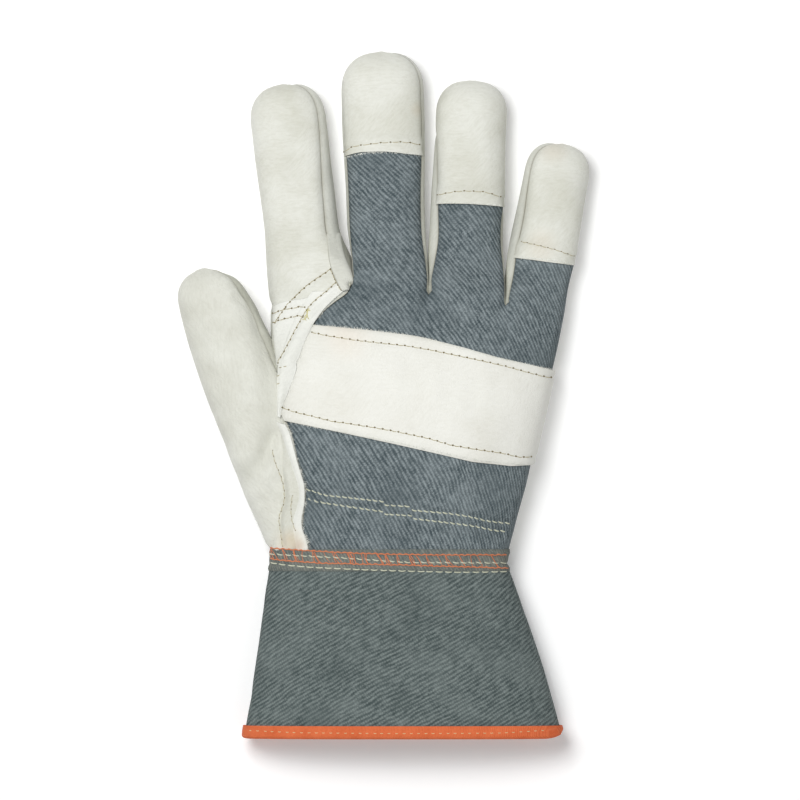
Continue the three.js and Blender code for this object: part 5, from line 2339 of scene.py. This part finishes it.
def main() -> None:
    """Builds the glove's parts in order and sets up the scene."""
    logging.basicConfig(level=logging.INFO, format="%(message)s")
    kept = {o.name for o in frame["nodes"].values()} | {o.name for o in frame["bodies"].values()}
    for stray in [o for o in bpy.data.objects if o.name not in kept]:
        bpy.data.objects.remove(stray)
    form = Form()
    thumb = Thumb()
    side = form.section(thumb.root + thumb.length / 2).left
    low_x = CAD_BOX[0].x / MM
    low_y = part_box("back_cloth")[0].y / MM
    shift = np.array([low_x - (side - max(thumb.outer_out) * thumb.reach), low_y - GAP / 2, 0.0])
    log.info("the wrist's middle lies at %.2f, %.2f", shift[0], shift[1])
    hand = Hand(form, RELIEF)
    hand.build(shift)
    thumb.build(form, shift)
    cuff = Cuff(form)
    cuff.build(shift)

    wrist = (Spot(291, 540, 8.0, 0.5), Spot(300, 546, 4.0, 0.4, tone(190, 150, 112)))
    tips = (Spot(340, 158, 5.0, 0.25), Spot(418, 110, 5.0, 0.25), Spot(553, 150, 8.0, 0.2),
            Spot(540, 245, 9.0, 0.2))
    leather = Leather("white_leather", tone(233, 234, 226), tone(206, 206, 192),
                      spots=wrist + tips).material()
    # Painted shade on the thumb: soft grey patches along its folds, beside its inner strip and down its left
    # side, where shade falls. The wrist patches before them are real stains.
    painted_fold_shade = tone(182, 182, 168)
    folds = ((257, 318, 9.0, 0.28), (264, 341, 9.0, 0.3), (268, 363, 9.0, 0.3), (269, 386, 9.0, 0.28),
             (269, 408, 9.0, 0.26), (267, 430, 9.0, 0.26), (262, 452, 9.0, 0.24), (251, 471, 8.0, 0.24),
             (190, 310, 9.0, 0.25), (196, 340, 9.0, 0.25), (205, 370, 9.0, 0.25), (214, 400, 9.0, 0.22),
             (224, 430, 9.0, 0.2), (196, 283, 7.0, 0.15))
    thumb_stains_and_shade = wrist + tuple(Spot(*fold, painted_fold_shade) for fold in folds)
    thumb_leather = Leather("thumb_leather", tone(232, 233, 224), tone(208, 208, 196), crease=0.9, turn=-0.9,
                            spots=thumb_stains_and_shade).material()
    # A darker copy of the thumb leather for its inner strip: painted shade where the strip turns in under the
    # thumb.
    gusset_leather = Leather("gusset_leather", tone(198, 199, 187), tone(170, 170, 156), turn=-0.9).material()
    # A darker copy of the white leather for the steep sides between the fingers and the index strip's end:
    # painted shade where these sides turn away from the light.
    side_leather = Leather("side_leather", tone(226, 227, 218), tone(200, 201, 190)).material()
    blush = (Spot(345, 333, 14.0, 0.3, tone(232, 216, 196)),)
    strap_leather = Leather("strap_leather", tone(240, 240, 233), tone(226, 225, 215), edge_stain_and_shade_amount=0.1,
                            crease=0.25, spots=blush).material()
    # Leather of the raw layers; its grey edge colour is a painted shadow line along the raw edges.
    raw = Leather("raw_leather", tone(243, 244, 238), tone(224, 225, 217), tone(166, 166, 160), 0.8,
                  crease=0.25, spots=wrist).material()
    body_lay = ((383, 150, 38), (330, 480, 49), (465, 240, 56), (480, 394, 65), (545, 320, 65),
                (480, 490, 72))
    cloth = Twill("grey_twill", tone(70, 82, 86), tone(154, 164, 167), body_lay, 1.47, middle=8.0).material()
    cuff_lay = ((400, 640, -30),)
    cuff_cloth = Twill("cuff_twill", tone(70, 81, 81), tone(134, 144, 142), cuff_lay, 1.5, 8.0, 0.8, 1.1,
                       tone(50, 58, 60)).material()
    band_lay = ((400, 560, 62),)
    band_cloth = Twill("band_cloth", tone(94, 102, 100), tone(158, 158, 147), band_lay, 1.2, 8.0, 0.6,
                       0.6).material()
    tape = Tape("orange_tape", tone(250, 138, 90), tone(206, 92, 50)).material()
    # Dark brown dots that paint the shadow in the needle's punctures.
    hole_shadows = Yarn("stitch_holes", tone(146, 134, 98), tone(112, 100, 70)).material()
    yarns = {
        Thread.TAN: Yarn("tan_thread", tone(204, 197, 168), tone(170, 160, 128)).material(),
        Thread.CREAM: Yarn("cream_thread", tone(232, 233, 212), tone(188, 190, 166)).material(),
        Thread.ORANGE: Yarn("orange_thread", tone(236, 152, 112), tone(204, 112, 72)).material(),
        Thread.YELLOW: Yarn("yellow_thread", tone(240, 236, 190), tone(214, 206, 150)).material(),
    }

    drape = Drape()
    free_of_thumb = outside(hand.surface.points, thumb.surface, 2.5)
    free_of_hand = outside(thumb.surface.points, hand.surface, 3.5)

    def shown(free: Array) -> Callable[[Array], Array]:
        """Tells which faces have a free corner."""
        return lambda quads: free[quads].any(axis=1)

    side_labels = ["side-low", "side-strap", "side-knuckle", "little-right"]
    palm_labels = ["palm", "hem-low"] + side_labels
    cloth_labels = ["cloth-low", "cloth-strap", "cloth-knuckle"]
    for finger in form.fingers[1:]:
        cloth_labels += [f"{finger.name}-back-low", f"{finger.name}-back-lap"]
    index_labels = ["index-back-low", "index-back-lap", "index-back-high", "index-left", "index-end",
                    "hem-strap", "hem-knuckle"]
    clear = shown(free_of_thumb)
    panels = [
        ("palm_leather", hand.panel(palm_labels, LEATHER, clear=clear), leather, "leather"),
        ("back_cloth", hand.panel(cloth_labels, CLOTH), cloth, "cloth"),
        ("index_back", hand.panel(index_labels, LEATHER, clear=clear), leather, "leather"),
        ("thumb", thumb.panel("thumb", shown(free_of_hand)), thumb_leather, "leather"),
        ("thumb_gusset", thumb.panel("gusset", shown(free_of_hand)), gusset_leather, "side_leather"),
        ("cuff", cuff.body(), cuff_cloth, "cuff_cloth"),
        ("cuff_binding", cuff.tape(), tape, "tape"),
        ("wrist_band", cuff.band(), band_cloth, "overlock"),
    ]
    for finger in form.fingers[1:]:
        panels.append((f"{finger.name}_tip", hand.tip(finger), leather, "leather"))
    for first, second in zip(form.fingers, form.fingers[1:]):
        strip = hand.panel([f"{first.name}-right", f"{second.name}-left"], LEATHER)
        panels.append((f"fourchette_{first.name}_{second.name}", strip, side_leather, "side_leather"))
    strap_quads = hand.surface.faces(["cloth-strap", "side-strap"])
    rim = hand.surface.to_border(strap_quads)
    rounded = np.sqrt(1 - (1 - np.clip(rim / 1.0, 0, 1)) ** 2)
    outer = GAP + LEATHER * (0.55 + 0.45 * rounded) + hand.offset
    for line in (STRAP_TOP, STRAP_LOW):
        outer += Groove(line, 0.4, 0.8, 0.15, 0.1, 2.75, 2.0).offset(hand.surface.points[:, :2])
    strap = hand.surface.shell(strap_quads, outer, GAP + hand.offset)
    panels.append(("knuckle_strap", strap, strap_leather, "strap_leather"))
    for name, solid, material, slot in panels:
        piece(f"dressed_{name}", solid, material, slot, name)
        drape.lay(solid)

    trim = Trim()
    for number, layer in enumerate(trim.layers):
        solid = layer.build(drape)
        drape.lay(solid)
        nodes = ("index_patch",) if number == 0 else ()
        piece(f"leather_layer_{number + 1}", solid, side_leather if layer.shaded else raw, "leather", *nodes)
    slots = {Thread.TAN: "leather", Thread.CREAM: "cloth", Thread.YELLOW: "tape"}
    for kind, slot in slots.items():
        stitches = threads(trim.rows, kind, drape)
        if kind is Thread.YELLOW:
            stitches += trim.knot(drape)
        piece(f"{kind.value}_stitches", joined(stitches), yarns[kind], slot)
    # Painted shadows in the needle's punctures along every row.
    spots = [spot for row in trim.rows for spot in row.hole_shadows(drape)]
    piece("stitch_holes", joined(spots), hole_shadows, "leather")
    piece("orange_threads", joined(trim.overlock(drape)), yarns[Thread.ORANGE], "overlock")
    fibres = [fibre for fuzz in trim.fuzz for fibre in fuzz.build(drape)]
    piece("edge_fibres", joined(fibres), raw, "leather")

    Studio().build()


if __name__ == "__main__":
    main()
